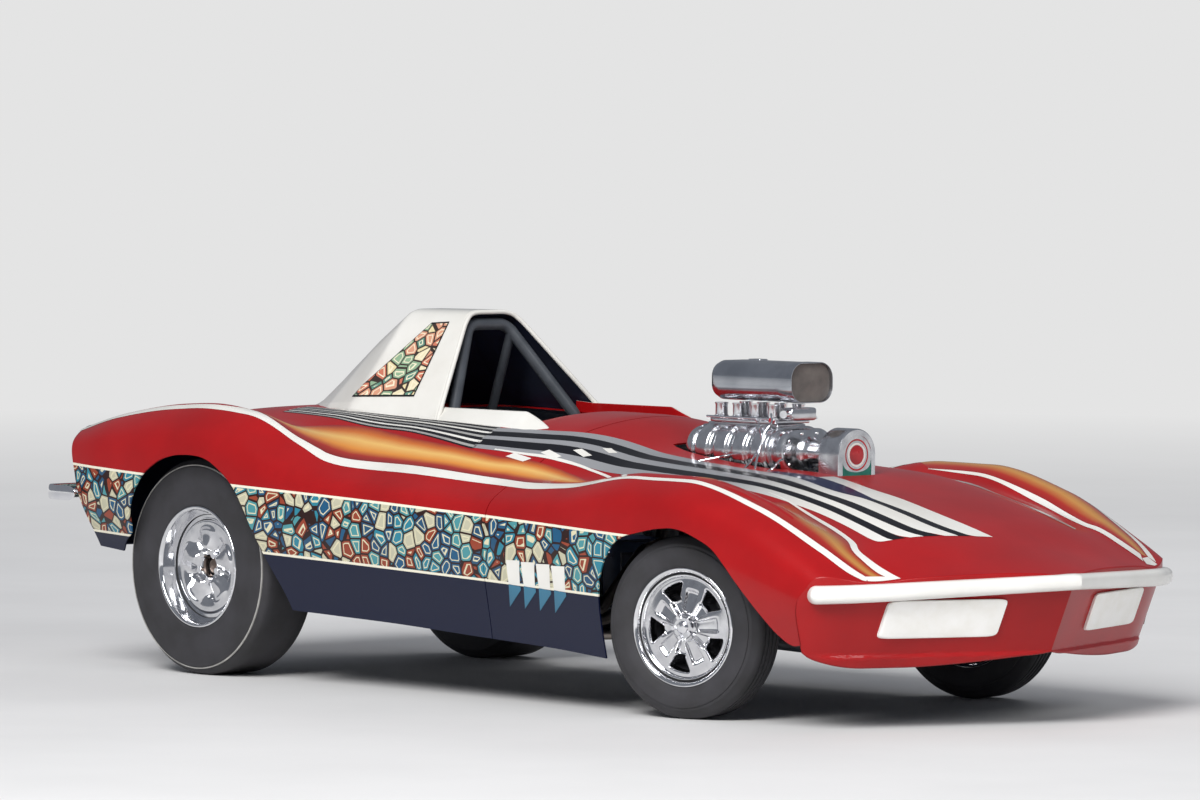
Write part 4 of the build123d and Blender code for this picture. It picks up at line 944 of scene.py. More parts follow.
share = np.linspace(0, 1, 64)
xFront = fairing["hoopLow"][0] + hoopSlope * (fairing["deckZ"] - fairing["hoopLow"][1])
stations = xFront + (fairing["tailX"] - xFront) * share
leans = hoopSlope * np.clip(1 - share / 0.45, 0, 1)
fairGrid = np.array([fairStation(x, lean) for x, lean in zip(stations, leans)])
fairGrid[..., 2] -= 0.0004 * np.clip((fairGrid[..., 2] - 1.30) / 0.04, 0, 1)
fairSkin = surface("head_fairing", fairGrid, [finish["white"], finish["liner"]], angle=40, outward=False)
faceTo(fairSkin, 2)
giveWall(fairSkin, fairing["wall"])
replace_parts(fairSkin, "roll_fairing")
lipPath = fairGrid[0] * (1, 0.985, 1) - (0, 0, 0.0085) * np.clip((fairGrid[0][:, 2:] - 0.98) / 0.3, 0, 1)
many("fairing_lip", [bar(lipPath, 0.0085, 12)], finish["white"])

# Coaming: a low wall on each side of the cockpit, leaning in, with a rolled top edge. Its foot and edge go
# from the first half width to the second at the front tip.
coaming = {"x": [-0.66, -0.574, -0.35, -0.140, -0.05, 0.005],
           "top": [1.014, 1.009, 1.009, 1.009, 0.975, 0.950],
           "foot": (0.425, 0.395), "edge": (0.362, 0.385)}
cx = np.linspace(coaming["x"][0], coaming["x"][-1], 50)
cTop = np.interp(cx, coaming["x"], coaming["top"])
sides = []
for side in (-1, 1):
    rowsOut = []
    for x, top in zip(cx, cTop):
        tip = np.clip((cx[-1] - x) / 0.10, 0.0, 1) ** 0.5
        foot, edge = (coaming[key][1] + (coaming[key][0] - coaming[key][1]) * tip for key in ("foot", "edge"))
        base = float(skinAt(x, 0.24)[2]) - 0.012
        top = max(top, base + 0.024)
        ring = softLine([(foot, base), (foot - 0.003, base + 0.02), (edge, top), (edge - 0.010, top),
                         (edge - 0.010, base)], [0, 0.006, 0.006, 0.004, 0], 5)
        rowsOut.append(ringAt(x, side * ring[:, 0], ring[:, 1]))
    sides.append((np.array(rowsOut), solid))
coamingPiece = many("cockpit_coaming", sides, [finish["white"], finish["body"]])
count = len(coamingPiece.data.polygons)
middle, facing = np.empty(count * 3), np.empty(count * 3)
coamingPiece.data.polygons.foreach_get("center", middle)
coamingPiece.data.polygons.foreach_get("normal", facing)
inward = (np.sign(middle[1::3]) * facing[1::3] < -0.3).astype(int)
coamingPiece.data.polygons.foreach_set("material_index", inward)


# Flat film on the flank: bilinear between four corners in x and z, y from the line between base and knee.
def flankY(x, z):
    by, bz, ky, kz, ty, tz = fairRow(x)
    return by + (ky - by) * (z - bz) / (kz - bz)


def flankFilm(name, corners, mat, lift, side):
    flat = between(corners, 24, 24)
    y = flankY(flat[..., 0], flat[..., 1]) + lift
    grid = np.stack([flat[..., 0], side * y, flat[..., 1] + lift * 0.5], -1)
    piece = surface(name, grid, mat, outward=False)
    faceTo(piece, 1, side)


corners = np.array(fairing["panel"])
middle = corners.mean(0)
for side, label in ((-1, "right"), (1, "left")):
    flankFilm("flank_border_" + label, middle + (corners - middle) * 1.045, finish["gap"], 0.0015, side)
    flankFilm("flank_panel_" + label, corners, finish["panel"], 0.0022, side)
print("fairing made")

# Bumpers, pale nose panels and tail lamps
bumper = {"tip": (0.474, 0.530), "end": (0.438, 0.502), "proud": 0.0355, "endY": 0.862, "rounded": 0.030}


# Nose line in plan, moved outwards, from the right end round the tip to the left end.
def noseLine(out, n=90):
    y = bumper["endY"] * np.sin(np.linspace(0, np.pi / 2, n))
    half = np.column_stack([noseX(y) + out, y + out * np.clip((y - 0.76) / 0.10, 0, 1) * 0.6])
    return np.concatenate([half[::-1] * (1, -1), half[1:]])


outLine, backLine = noseLine(bumper["proud"]), noseLine(-0.012)
width = np.abs(backLine[:, 1]) / bumper["endY"]
run = np.concatenate([[0], np.cumsum(np.linalg.norm(np.diff(outLine, axis=0), axis=1))])
fromEnd = np.clip(np.minimum(run, run[-1] - run) / bumper["rounded"], 0, 1)
full = 0.06 + 0.94 * np.sqrt(1 - (1 - fromEnd) ** 2)
z0, z1 = (bumper["tip"][i] + (bumper["end"][i] - bumper["tip"][i]) * width for i in (0, 1))
depth = np.linspace(-np.pi / 2, np.pi / 2, 15)
swell = np.abs(np.cos(depth)) ** 0.55
rise = np.sign(np.sin(depth)) * np.abs(np.sin(depth)) ** 0.8
height = ((z0 + z1) / 2)[:, None] + ((z1 - z0) / 2 * full)[:, None] * rise[None]
face = backLine[:, None] * (1 - swell[None, :, None]) + outLine[:, None] * swell[None, :, None]
bumperGrid = np.concatenate([face, height[..., None]], -1)
bumperGrid[..., 1] = np.clip(bumperGrid[..., 1], -0.887, 0.887)
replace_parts(many("front_bumper_blade", [(bumperGrid, solid)], finish["bumper"], angle=40), "front_bumper")

plate = {"y": 0.4185, "z": 0.382, "halfY": 0.2033, "halfZ": 0.066}
squareY, squareZ = squared(np.linspace(0, 2 * np.pi, 48, endpoint=False), 0.16)
grille = []
for side in (-1, 1):
    rings = []
    for depthOut, size in ((-0.01, 1.0), (0.010, 1.0), (0.014, 0.985), (0.015, 0.96), (0.0145, 0.5),
                           (0.0145, 0.02)):
        yy = plate["y"] + plate["halfY"] * squareY * size
        zz = plate["z"] + plate["halfZ"] * squareZ * (1 - (1 - size) * (2.4 if size > 0.9 else 1.0))
        rings.append(np.column_stack([noseX(yy, zz) + depthOut, side * yy, zz]))
    grille.append((np.array(rings), solid))
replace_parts(many("nose_plates", grille, finish["plate"], angle=30), "grille_panels")

tip = {"z": 0.647, "half": 0.028, "x": [-2.10, -2.20, -2.262, -2.286, -2.292, -2.292],
       "y": [0.876, 0.876, 0.868, 0.845, 0.80, 0.655]}
tipPath = even(softLine(np.column_stack([tip["x"], tip["y"]]), 0.02, 5), 60)
ends = np.clip(np.minimum(np.linspace(0, 1, 60), np.linspace(1, 0, 60)) / 0.09, 0, 1) ** 0.5
t = np.linspace(0, 2 * np.pi, 24, endpoint=False)
run = np.gradient(tipPath, axis=0)
run /= np.linalg.norm(run, axis=1)[:, None]
off = np.column_stack([run[:, 1], -run[:, 0]])
thick = 0.3 + 0.7 * ends[:, None, None]
ring = tipPath[:, None] + off[:, None] * 0.0065 * np.cos(t)[None, :, None] * thick
zz = tip["z"] + tip["half"] * np.sin(t)[None] * (0.25 + 0.75 * ends[:, None])
tipGrid = np.dstack([ring, zz])
tips = []
for s in (-1, 1):
    stem = bar([(-2.285, s * 0.72, tip["z"]), (-2.10, s * 0.72, tip["z"])], 0.011)
    brace = bar([(-2.195, s * 0.868, tip["z"]), (-2.195, s * 0.82, tip["z"])], 0.010)
    tips += [(tipGrid * (1, s, 1), solid), stem, brace]
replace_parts(many("rear_bumper_tips", tips, finish["chrome"]), "rear_bumpers")

lamp = {
    "y": (-0.52, -0.33, 0.33, 0.52), "z": 0.790,
    "lens": [(0.0005, 0.0175), (0.0156, 0.0172), (0.0312, 0.0155), (0.04264, 0.0120), (0.04368, 0.002)],
    "bezel": [(0.04368, 0.0), (0.04368, 0.0155), (0.0468, 0.0178), (0.05044, 0.0165), (0.052, 0.010),
              (0.052, 0.0)],
}
lean = np.array([-1, 0, -shell["tailRun"]]) / np.hypot(1, shell["tailRun"])
lamps = []
for y in lamp["y"]:
    foot = np.array([tailX(lamp["z"]), y, lamp["z"]])
    lamps.append(lathe(lamp["lens"], foot, lean, 48, 0, True))
    lamps.append(lathe(lamp["bezel"], foot, lean, 48, 1))
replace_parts(many("tail_lamp_set", lamps, [finish["lens"], finish["chrome"]]), "tail_lamps")
print("bumpers and lamps made")

# Tyres and wheels
# Profiles are rows of radius and distance outwards from the wheel's middle plane.
wheels = {
    "rear": {
        "x": -1.474, "r": 0.400, "w": 0.270, "rim": 0.218, "centre": 0.673, "dish": 0.190,
        "shell": [(0.190, 0.060), (0.1915, 0.0665), (0.197, 0.080), (0.2065, 0.108), (0.2095, 0.117),
                  (0.2135, 0.124), (0.219, 0.1275), (0.2245, 0.126), (0.2265, 0.120), (0.2265, 0.113),
                  (0.216, 0.110), (0.212, 0.10), (0.205, 0.02), (0.205, -0.09), (0.216, -0.11),
                  (0.2265, -0.113), (0.2265, -0.120), (0.219, -0.125), (0.210, -0.11), (0.199, -0.088),
                  (0.199, 0.01), (0.188, 0.058)],
        "seal": [(0.1885, 0.0600), (0.1920, 0.0690), (0.1945, 0.0700), (0.1955, 0.0660)],
        "cap": [(0.0005, 0.046), (0.020, 0.046), (0.026, 0.043), (0.028, 0.030), (0.036, 0.029),
                (0.036, 0.010)],
        "nut": [(0.0005, 0.0), (0.0115, 0.0), (0.0125, -0.001), (0.0125, -0.016)],
        "nutSides": 24, "nutRing": (0.052, 0.075), "firstNut": 126, "capMat": 1,
    },
    "front": {
        "x": 1.110, "r": 0.318, "w": 0.174, "rim": 0.200, "pivot": 0.655, "scrub": 0.050, "steer": 13.0,
        "dish": 0.172,
        "shell": [(0.172, 0.046), (0.173, 0.056), (0.177, 0.0625), (0.1815, 0.0635), (0.1845, 0.0600),
                  (0.1865, 0.0590), (0.1895, 0.066), (0.1925, 0.0715), (0.198, 0.0755), (0.204, 0.0765),
                  (0.2075, 0.0735), (0.2078, 0.0665), (0.200, 0.063), (0.195, 0.055), (0.188, 0.02),
                  (0.188, -0.05), (0.200, -0.063), (0.2078, -0.0665), (0.2075, -0.0735), (0.204, -0.0765),
                  (0.193, -0.066), (0.182, -0.045), (0.182, 0.01), (0.170, 0.044)],
        "seal": [(0.1815, 0.0605), (0.1835, 0.0640), (0.1870, 0.0635), (0.1878, 0.0595)],
        "cap": [(0.0005, 0.086), (0.016, 0.085), (0.022, 0.080), (0.024, 0.070), (0.030, 0.068),
                (0.031, 0.050)],
        "nut": [(0.0005, 0.0), (0.0075, 0.0), (0.0090, -0.002), (0.0090, -0.018)],
        "nutSides": 6, "nutRing": (0.036, 0.084), "firstNut": 114, "capMat": 0,
    },
}


# Local wheel point (x, out, z) to the car, side -1 on the right. Front wheels are turned about their pivot.
def placed(points, kind, side):
    w = wheels[kind]
    p = np.asarray(points, float)
    if kind == "rear":
        return np.stack([w["x"] + p[..., 0], side * (w["centre"] + p[..., 1]), w["r"] + p[..., 2]], -1)
    a = np.radians(w["steer"])
    y = side * (w["scrub"] + p[..., 1])
    return np.stack([w["x"] + p[..., 0] * np.cos(a) - y * np.sin(a),
                     side * w["pivot"] + p[..., 0] * np.sin(a) + y * np.cos(a), w["r"] + p[..., 2]], -1)


# Turned about the wheel's own axle: (radius, out) rows to a grid.
def spun(profile, steps=128):
    p = np.asarray(profile, float)
    t = np.linspace(0, 2 * np.pi, steps, endpoint=False)
    return np.stack([p[None, :, 0] * np.cos(t)[:, None], np.broadcast_to(p[None, :, 1], (steps, len(p))),
                     p[None, :, 0] * np.sin(t)[:, None]], -1)


def tyreProfile(kind):
    w = wheels[kind]
    r, h, rim = w["r"], w["w"] / 2, w["rim"]
    mid = (r + rim) / 2
    wall = [(rim + 0.002, h - 0.024), (rim + 0.010, h - 0.010), (mid - 0.020, h - 0.0015), (mid, h),
            (mid + 0.02, h - 0.001), (r - 0.040, h - 0.006), (r - 0.030, h - 0.0065), (r - 0.024, h - 0.012),
            (r - 0.006, h - 0.026), (r, h - 0.040)]
    wall = softLine(wall, 0.007, 4)
    if kind == "rear":
        tread = np.column_stack([np.full(9, r), np.linspace(h - 0.042, -h + 0.042, 9)])
    else:
        rows = []
        for y in (0.034, 0.011, -0.011, -0.034):
            rows += [(r, y + 0.0045), (r - 0.006, y + 0.0030), (r - 0.006, y - 0.0030), (r, y - 0.0045)]
        tread = np.array([(r, h - 0.042)] + rows + [(r, -h + 0.042)])
    inner = [(rim + 0.002, -h + 0.024), (rim + 0.002, h - 0.024)]
    return np.concatenate([wall, tread[1:-1], wall[::-1] * (1, -1), np.array(inner)[1:]])[:-1]


for kind in ("rear", "front"):
    for side, label in ((-1, "right"), (1, "left")):
        body = kind + "_wheel_" + label
        profile = tyreProfile(kind)
        grid = placed(spun(profile, 160), kind, side)
        length = np.concatenate([[0], np.cumsum(np.linalg.norm(np.diff(profile, axis=0), axis=1))])
        around = np.linspace(0, 2 * np.pi * wheels[kind]["r"], 160, endpoint=False)
        uv = np.stack(np.meshgrid(around, length, indexing="ij"), -1)
        piece = surface(kind + "_tyre_rubber_" + label, grid, finish["tyre"], body, True, True, uv=uv)
        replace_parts(piece, kind + "_tyre_" + label)
        if kind == "rear":
            h = wheels[kind]["w"] / 2
            line = [(0.3735, h - 0.0095), (0.3735, h - 0.0070), (0.3775, h - 0.0085), (0.3775, h - 0.0140)]
            grid = placed(spun(line, 160), kind, side)
            surface("rear_tyre_line_" + label, grid, finish["tyreLine"], body, True, True)
print("tyres made")


# Smooth step from 0 to 1 over a width about an edge.
def step(x, edge, width):
    return 1 / (1 + np.exp(-np.clip((x - edge) / width * 4, -40, 40)))


# Wheel centre as a height over radius and angle, a sum of smooth steps: lip, ramps, spokes and pockets.
def dish(heights, rOut, rIn, nr, nt):
    r, t = np.meshgrid(np.linspace(rIn, rOut, nr), np.linspace(0, 2 * np.pi, nt, endpoint=False),
                       indexing="ij")
    out, dark = heights(r, t)
    return np.stack([r * np.cos(t), out, r * np.sin(t)], -1), dark


# Angle from the nearest of a count of spokes, the first at a place in degrees.
def angleFrom(t, at, count):
    span = 2 * np.pi / count
    return (t - np.radians(at) + span / 2) % span - span / 2


# Five spokes: a domed star with a ribbed channel down each spoke, and a deep window between each two, whose
# floor is painted shade.
def frontCentre(r, t):
    window = angleFrom(t, 114, 5) * r
    spoke = angleFrom(t, 114 + 36, 5) * r
    base = 0.050 + 0.018 * np.clip((0.168 - r) / 0.12, 0, 1) ** 1.3
    pocket = step(r, 0.102, 0.006) * (1 - step(r, 0.152, 0.006))
    pocket *= 1 - step(np.abs(window), 0.012 + (r - 0.10) * 0.55, 0.006)
    slot = step(r, 0.050, 0.006) * (1 - step(r, 0.128, 0.010))
    slot *= 1 - step(np.abs(spoke), 0.016 + (r - 0.05) * 0.10, 0.005)
    valley = step(r, 0.045, 0.008) * (1 - step(r, 0.100, 0.010))
    valley *= 1 - step(np.abs(window), 0.006 + (r - 0.04) * 0.28, 0.006)
    hub = 0.008 * (1 - step(r, 0.040, 0.004))
    height = base + hub - 0.012 * slot - 0.020 * valley - 0.080 * pocket
    return height, pocket > 0.35


# Five lobes: a spun dish with five raised petals round a hub socket, whose floor is near-black painted shade.
def rearCentre(r, t):
    petal = np.abs(angleFrom(t, 90, 5)) / (np.pi / 5)
    base = 0.068 + 0.006 * step(r, 0.135, 0.02) - 0.010 * step(r, 0.172, 0.006)
    ridge = np.exp(-(petal / 0.52) ** 4) * step(r, 0.062, 0.010)
    ridge *= 1 - step(r, 0.142 - 0.02 * petal ** 2, 0.012)
    gap = np.exp(-((1 - petal) / 0.20) ** 2) * step(r, 0.070, 0.012) * (1 - step(r, 0.118, 0.014))
    socket = 1 - step(r, 0.040, 0.004)
    height = base + 0.020 * ridge * (1 - 0.35 * step(r, 0.10, 0.05)) - 0.016 * gap - 0.045 * socket
    return height, socket > 0.5


# Closed ring of a wheel, and a turned piece of it capped at both ends.
def wheelRing(profile, kind, side, mat):
    return placed(spun(profile, 128), kind, side), {"closedU": True, "closedV": True, "mat": mat}


def wheelTurned(grid, kind, side, mat=0):
    return np.swapaxes(placed(grid, kind, side), 0, 1), dict(solid, mat=mat)


for kind, centre in (("rear", rearCentre), ("front", frontCentre)):
    w = wheels[kind]
    for side, label in ((-1, "right"), (1, "left")):
        body = kind + "_wheel_" + label
        grid, dark = dish(centre, w["dish"], 0.0015, 96, 300)
        nu, nv = grid.shape[:2]
        cells = gridFaces(nu, nv, False, True)
        # faces deep in the windows and the socket take the near-black painted shade in place of open holes
        shadeFace = (dark.ravel()[cells].mean(1) > 0.5).astype(int)
        piece = meshPiece(kind + "_wheel_centre_" + label, placed(grid, kind, side).reshape(-1, 3),
                          cells.tolist() + [list(range(nv))], [finish["wheelFace"], finish["window"]],
                          body, 50, shadeFace.tolist() + [1], outward=False)
        faceTo(piece, 1, side)
        parts = [wheelRing(softLine(w["shell"], 0.0018, 3, True), kind, side, 0),
                 wheelRing(w["seal"], kind, side, 1)]
        rim = many(kind + "_wheel_rim_" + label, parts, [finish["wheelRim"], finish["window"]], body, 30)
        hub = [wheelTurned(spun(w["cap"], 48), kind, side, w["capMat"])]
        radius, out = w["nutRing"]
        for a in np.radians(w["firstNut"] + 72 * np.arange(5)):
            nut = spun(w["nut"], w["nutSides"]) + (radius * np.cos(a), out, radius * np.sin(a))
            hub.append(wheelTurned(nut, kind, side))
        many(kind + "_wheel_hub_" + label, hub, [finish["chrome"], finish["socket"]], body, 30)
        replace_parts(rim, kind + "_wheel_" + label)
print("wheels made")

# Engine top: blower, gear cover, snout, injector and scoop
blower = {"x": (0.4955, 0.8745), "z": 0.894, "lobe": 0.051, "r": 0.082, "ribs": 4, "ribHigh": 0.010}
lobeTurn = np.linspace(0, 2 * np.pi, 72, endpoint=False)
lobeY, lobeZ = np.cos(lobeTurn), np.sin(lobeTurn)
lobeShift = np.where(lobeY > 0, 1, -1) * blower["lobe"]


# Two-lobed ring at one x: half circles about two centres joined by flats.
def lobed(x, r):
    return ringAt(x, lobeShift + r * lobeY, blower["z"] + r * lobeZ)


# Softened ends of a block: places along it, and how far its ring is drawn in at each.
def softEnds(a, b, soft):
    near = soft * 0.3
    return (a, soft), (a + near, near), (a + soft, 0), (b - soft, 0), (b - near, near), (b, soft)


# Block with softened edges: a superellipse ring carried up between two heights.
def softBlock(x0, x1, y0, y1, z0, z1, soft=0.006, mat=0):
    ex, ey = squared(np.linspace(0, 2 * np.pi, 48, endpoint=False), 0.12)
    rings = [np.column_stack([(x0 + x1) / 2 + ((x1 - x0) / 2 - cut) * ex,
                              (y0 + y1) / 2 + ((y1 - y0) / 2 - cut) * ey,
                              np.full(48, z)]) for z, cut in softEnds(z0, z1, soft)]
    return np.array(rings), dict(solid, mat=mat)


# Lobed plate with rounded rims, from x0 to x1.
def lobedPlate(x0, x1, r, soft):
    return np.array([lobed(x, r - cut) for x, cut in softEnds(x0, x1, soft)]), solid


def stud(x, y, z, r=0.006, h=0.006):
    return lathe([(0.0004, h), (r * 0.8, h), (r, h * 0.8), (r, 0.0)], (x, y, z), (0, 0, 1), 6, 1, True)


# Turned about a line ahead through the blower's height.
def nosePart(profile, x, y=0, steps=64, mat=0, caps=True, ahead=1):
    return lathe(profile, (x, y, blower["z"]), (ahead, 0, 0), steps, mat, caps)


x = np.linspace(blower["x"][0], blower["x"][1], 161)
wave = (x - x[0]) / ((x[-1] - x[0]) / blower["ribs"]) % 1
ribs = step(wave, 0.15, 0.12) * (1 - step(wave, 0.85, 0.12))
edge = np.clip(np.minimum(x - x[0], x[-1] - x) / 0.006, 0, 1) ** 0.5
radius = (blower["r"] - 0.004 + (blower["ribHigh"] + 0.004) * ribs) * (0.97 + 0.03 * edge)
case = [(np.array([lobed(place, r) for place, r in zip(x, radius)]), solid),
        softBlock(0.498, 0.872, -0.098, 0.098, 0.8005, 0.822),
        softBlock(0.505, 0.865, -0.076, 0.076, 0.960, 0.9915)]
case += [stud(0.515 + i * 0.068, side * 0.088, 0.822) for i in range(6) for side in (-1, 1)]
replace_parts(many("blower_body", case, [finish["bright"], finish["chrome"]]), "blower_case")

rear = [lobedPlate(0.485, 0.4945, 0.088, 0.003), lobedPlate(0.4515, 0.486, 0.080, 0.010)]
button = [(0.0005, 0.022), (0.028, 0.020), (0.034, 0.012), (0.034, 0)]
rear += [nosePart(button, 0.4735, side * blower["lobe"], 32, ahead=-1) for side in (-1, 1)]
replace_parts(many("blower_rear_cover", rear, [finish["bright"]]), "blower_rear_plate")

snout = [(0.0005, 0.0), (0.058, 0.0), (0.058, 0.010), (0.050, 0.020), (0.046, 0.045), (0.045, 0.080),
         (0.048, 0.105), (0.060, 0.125), (0.060, 0.1530), (0.0005, 0.1530)]
front = [lobedPlate(0.8755, 0.889, 0.090, 0.003), lobedPlate(0.888, 0.955, 0.084, 0.014),
         nosePart(snout, 0.9545)]
for a in np.radians(np.arange(0, 360, 36)):
    foot = (0.955, 0.118 * np.cos(a), blower["z"] + 0.070 * np.sin(a))
    front.append(lathe([(0.0004, 0.005), (0.0045, 0.005), (0.0055, 0.0)], foot, (1, 0, 0), 6, 1, True))
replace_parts(many("blower_gear_cover", front, [finish["bright"], finish["chrome"]]), "blower_front_cover")

# Toothed pulley: rows of x and radius, with the teeth where the radius is None
t = np.linspace(0, 2 * np.pi, 480, endpoint=False)
teeth = 0.0755 + 0.0020 * step(np.cos(t * 40), 0.0, 0.5)
rings = []
for place, r in ((1.1085, 0.076), (1.1085, 0.0778), (1.112, 0.0778), (1.112, None), (1.190, None),
                 (1.190, 0.0778), (1.1955, 0.0778), (1.1955, 0.070)):
    r = teeth if r is None else r
    rings.append(ringAt(place, r * np.cos(t), blower["z"] + r * np.sin(t)))
hubRing = [(0.0005, -0.002), (0.046, -0.002), (0.050, -0.0005), (0.056, -0.0004), (0.0565, -0.004)]
hubCap = [(0.0005, 0.0002), (0.030, 0.0002), (0.036, -0.0005), (0.037, -0.004)]
whiteRing = [(0.036, -0.004), (0.036, 0.0001), (0.042, 0.0001), (0.042, -0.004)]
pulley = [(np.array(rings), solid), nosePart(hubRing, 1.1960, mat=3), nosePart(hubCap, 1.1958, mat=1),
          nosePart(whiteRing, 1.1958, mat=2, caps=False)]
pulleyMats = [finish[key] for key in ("polished", "capRed", "white", "capRed")]
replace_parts(many("blower_drive_pulley", pulley, pulleyMats), "blower_pulley")

# Guard over the belt: a round top whose sides run straight down to the hood, with a flat front plate
arc = np.radians(np.linspace(0, 180, 60))
lower = np.linspace(0.806 - blower["z"], -0.004, 8)
sideways = np.concatenate([np.ones(8), np.cos(arc), -np.ones(8)])
upwards = np.concatenate([np.zeros(8), np.sin(arc), np.zeros(8)])
drop = np.concatenate([lower, np.zeros(60), lower[::-1]])
guard = np.array([(1.098, 0.0890), (1.098, 0.0915), (1.101, 0.0925), (1.190, 0.0925), (1.1945, 0.0915),
                  (1.1975, 0.0880), (1.1975, 0.0700), (1.1945, 0.0700), (1.1945, 0.0860), (1.1925, 0.0890)])
rings = [np.column_stack([guard[:, 0], guard[:, 1] * sy, blower["z"] + guard[:, 1] * sz + dz])
         for sy, sz, dz in zip(sideways, upwards, drop)]
many("belt_guard", [(np.array(rings), solid)], [finish["bright"]], angle=30)
t = np.linspace(0, np.pi, 40)
low = np.column_stack([0.0695 * np.cos(t), np.full(40, 0.807 - blower["z"])])
high = np.column_stack([0.0695 * np.cos(t), -0.0600 * np.sin(t) ** 0.5 * 0.98 - 0.002])
high[:, 1] = np.maximum(high[:, 1], low[:, 1] + 0.0005)
apron = [low * (1 - k) + high * k for k in np.linspace(0, 1, 5)]
apron = surface("guard_apron", [ringAt(1.1966, row[:, 0], blower["z"] + row[:, 1]) for row in apron],
                finish["capTeal"], outward=False)
faceTo(apron, 0)

injector = {
    "x": 0.702, "pitch": 0.090, "y": 0.060, "z": 0.9925, "rail": 0.106,
    "stack": [(0.0005, 0), (0.0260, 0.0), (0.0260, 0.007), (0.0222, 0.010), (0.0220, 0.046),
              (0.0240, 0.051), (0.0240, 0.054), (0.0005, 0.0541)],
}
foot, rail = injector["z"], injector["rail"]
inj = [softBlock(0.533, 0.871, -0.092, 0.092, foot, foot + 0.014, 0.003),
       softBlock(0.878, 0.930, -0.060, 0.060, foot + 0.012, foot + 0.058, 0.008),
       lathe([(0.0005, 0.034), (0.014, 0.034), (0.017, 0.028), (0.017, 0.0)], (0.905, -0.060, foot + 0.036),
             (0.4, -1, 0), 20, 1, True),
       lathe([(0.0005, 0.014), (0.009, 0.013), (0.010, 0.0)], (0.872, -0.100, foot + 0.012),
             (0.3, -1, 0.2), 12, 2, True)]
for side in (-1, 1):
    inj.append(bar([(0.540, side * rail, foot + 0.018), (0.885, side * rail, foot + 0.018)], 0.0045, 12, 1))
    for i in range(4):
        x = injector["x"] + (i - 1.5) * injector["pitch"]
        place = (x, side * injector["y"], foot + 0.0135)
        inj.append(lathe(injector["stack"], place, (0, 0, 1), 40, 0, True))
        inj.append(bar([(x, side * 0.080, foot + 0.022), (x, side * rail, foot + 0.018)], 0.0030, 10, 1))
        inj.append(stud(min(x + 0.045, 0.862), side * 0.084, foot + 0.014, 0.005, 0.005))
injectorMats = [finish[key] for key in ("bright", "chrome", "capRed")]
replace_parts(many("injector_body", inj, injectorMats), "injector_base")

scoop = {"x": (0.530, 0.968), "z": (1.068, 1.212), "w": 0.206, "corner": 0.058}
midZ, w, h, r = sum(scoop["z"]) / 2, scoop["w"], scoop["z"][1] - scoop["z"][0], scoop["corner"]


# Rounded rectangle at one x: corners of one radius, walked round from one side, shrunk by k about its middle.
def roundedRing(x, w, h, r, k=1.0):
    a = np.linspace(0, np.pi / 2, 14)
    out = []
    for i, (sy, sz) in enumerate(((1, 1), (-1, 1), (-1, -1), (1, -1))):
        out.append(np.column_stack([sy * (w / 2 - r) + r * np.cos(a + i * np.pi / 2),
                                    sz * (h / 2 - r) + r * np.sin(a + i * np.pi / 2)]))
    ring = np.concatenate(out) * k
    return ringAt(x, ring[:, 0], midZ + ring[:, 1])


x0, x1 = scoop["x"]
rings = [roundedRing(place, w - 2 * cut, h - 2 * cut, max(r - cut, 0.012)) for place, cut in (
    (x0 + 0.0005, 0.062), (x0 + 0.002, 0.046), (x0 + 0.008, 0.026), (x0 + 0.020, 0.010),
    (x0 + 0.040, 0.002), (x0 + 0.060, 0.0015), (x1 - 0.075, 0.0015), (x1 - 0.070, 0.0), (x1 - 0.004, 0.0),
    (x1, 0.0015), (x1, 0.003), (x1 - 0.004, 0.0045), (x1 - 0.020, 0.0045))]
parts = [(np.array(rings), solid), softBlock(0.660, 0.720, -0.020, 0.020, 1.205, 1.2165, 0.002, 1)]
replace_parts(many("scoop_shell", parts, [finish["scoop"], finish["chrome"]], angle=30), "air_scoop")
screen = [roundedRing(x1 - 0.013 + 0.004 * (1 - k), w - 0.010, h - 0.010, r - 0.005, k)
          for k in (1.0, 0.8, 0.5, 0.2, 0.01)]
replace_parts(many("scoop_mesh", [(np.array(screen), {"closedV": True})], finish["screen"]), "scoop_screen")

# Fuel and oil lines: bent tubes from the blower and injector down to the hood
lines = [
    [(0.870, -0.105, 1.030), (0.885, -0.118, 1.000), (0.880, -0.150, 0.960), (0.885, -0.185, 0.880),
     (0.905, -0.215, 0.838)],
    [(0.800, -0.112, 1.006), (0.850, -0.140, 0.985), (0.862, -0.146, 0.930), (0.865, -0.190, 0.870),
     (0.868, -0.235, 0.838)],
    [(0.700, -0.140, 0.880), (0.690, -0.190, 0.872), (0.660, -0.250, 0.860), (0.650, -0.290, 0.850)],
    [(0.930, -0.070, 0.880), (0.960, -0.150, 0.868), (0.985, -0.200, 0.848), (0.990, -0.240, 0.832)],
]
many("fuel_lines", [bar(through(p, 8), 0.0042, 10) for p in lines], finish["chrome"])
print("engine top made")


# Padded seat: the shell's form as one upholstered piece, blown up by cloth simulation
pad = {"node": "driver_seat", "shrink": 0.005, "voxel": 0.0065, "pressure": 4.0, "cap": 0.007, "frames": 20,
       "channel": 0.062, "groove": 0.0035, "grooveWide": 0.0035}


# Coordinates and outward normals of a mesh as (n, 3) arrays.
def vertexRows(mesh, kind="co"):
    flat = np.empty(len(mesh.vertices) * 3)
    mesh.vertices.foreach_get(kind, flat)
    return flat.reshape(-1, 3)


# Replaces a piece's mesh by what its modifiers make of it at this frame.
def bake(piece):
    graph = bpy.context.evaluated_depsgraph_get()
    made = bpy.data.meshes.new_from_object(piece.evaluated_get(graph))
    piece.modifiers.clear()
    piece.data = made


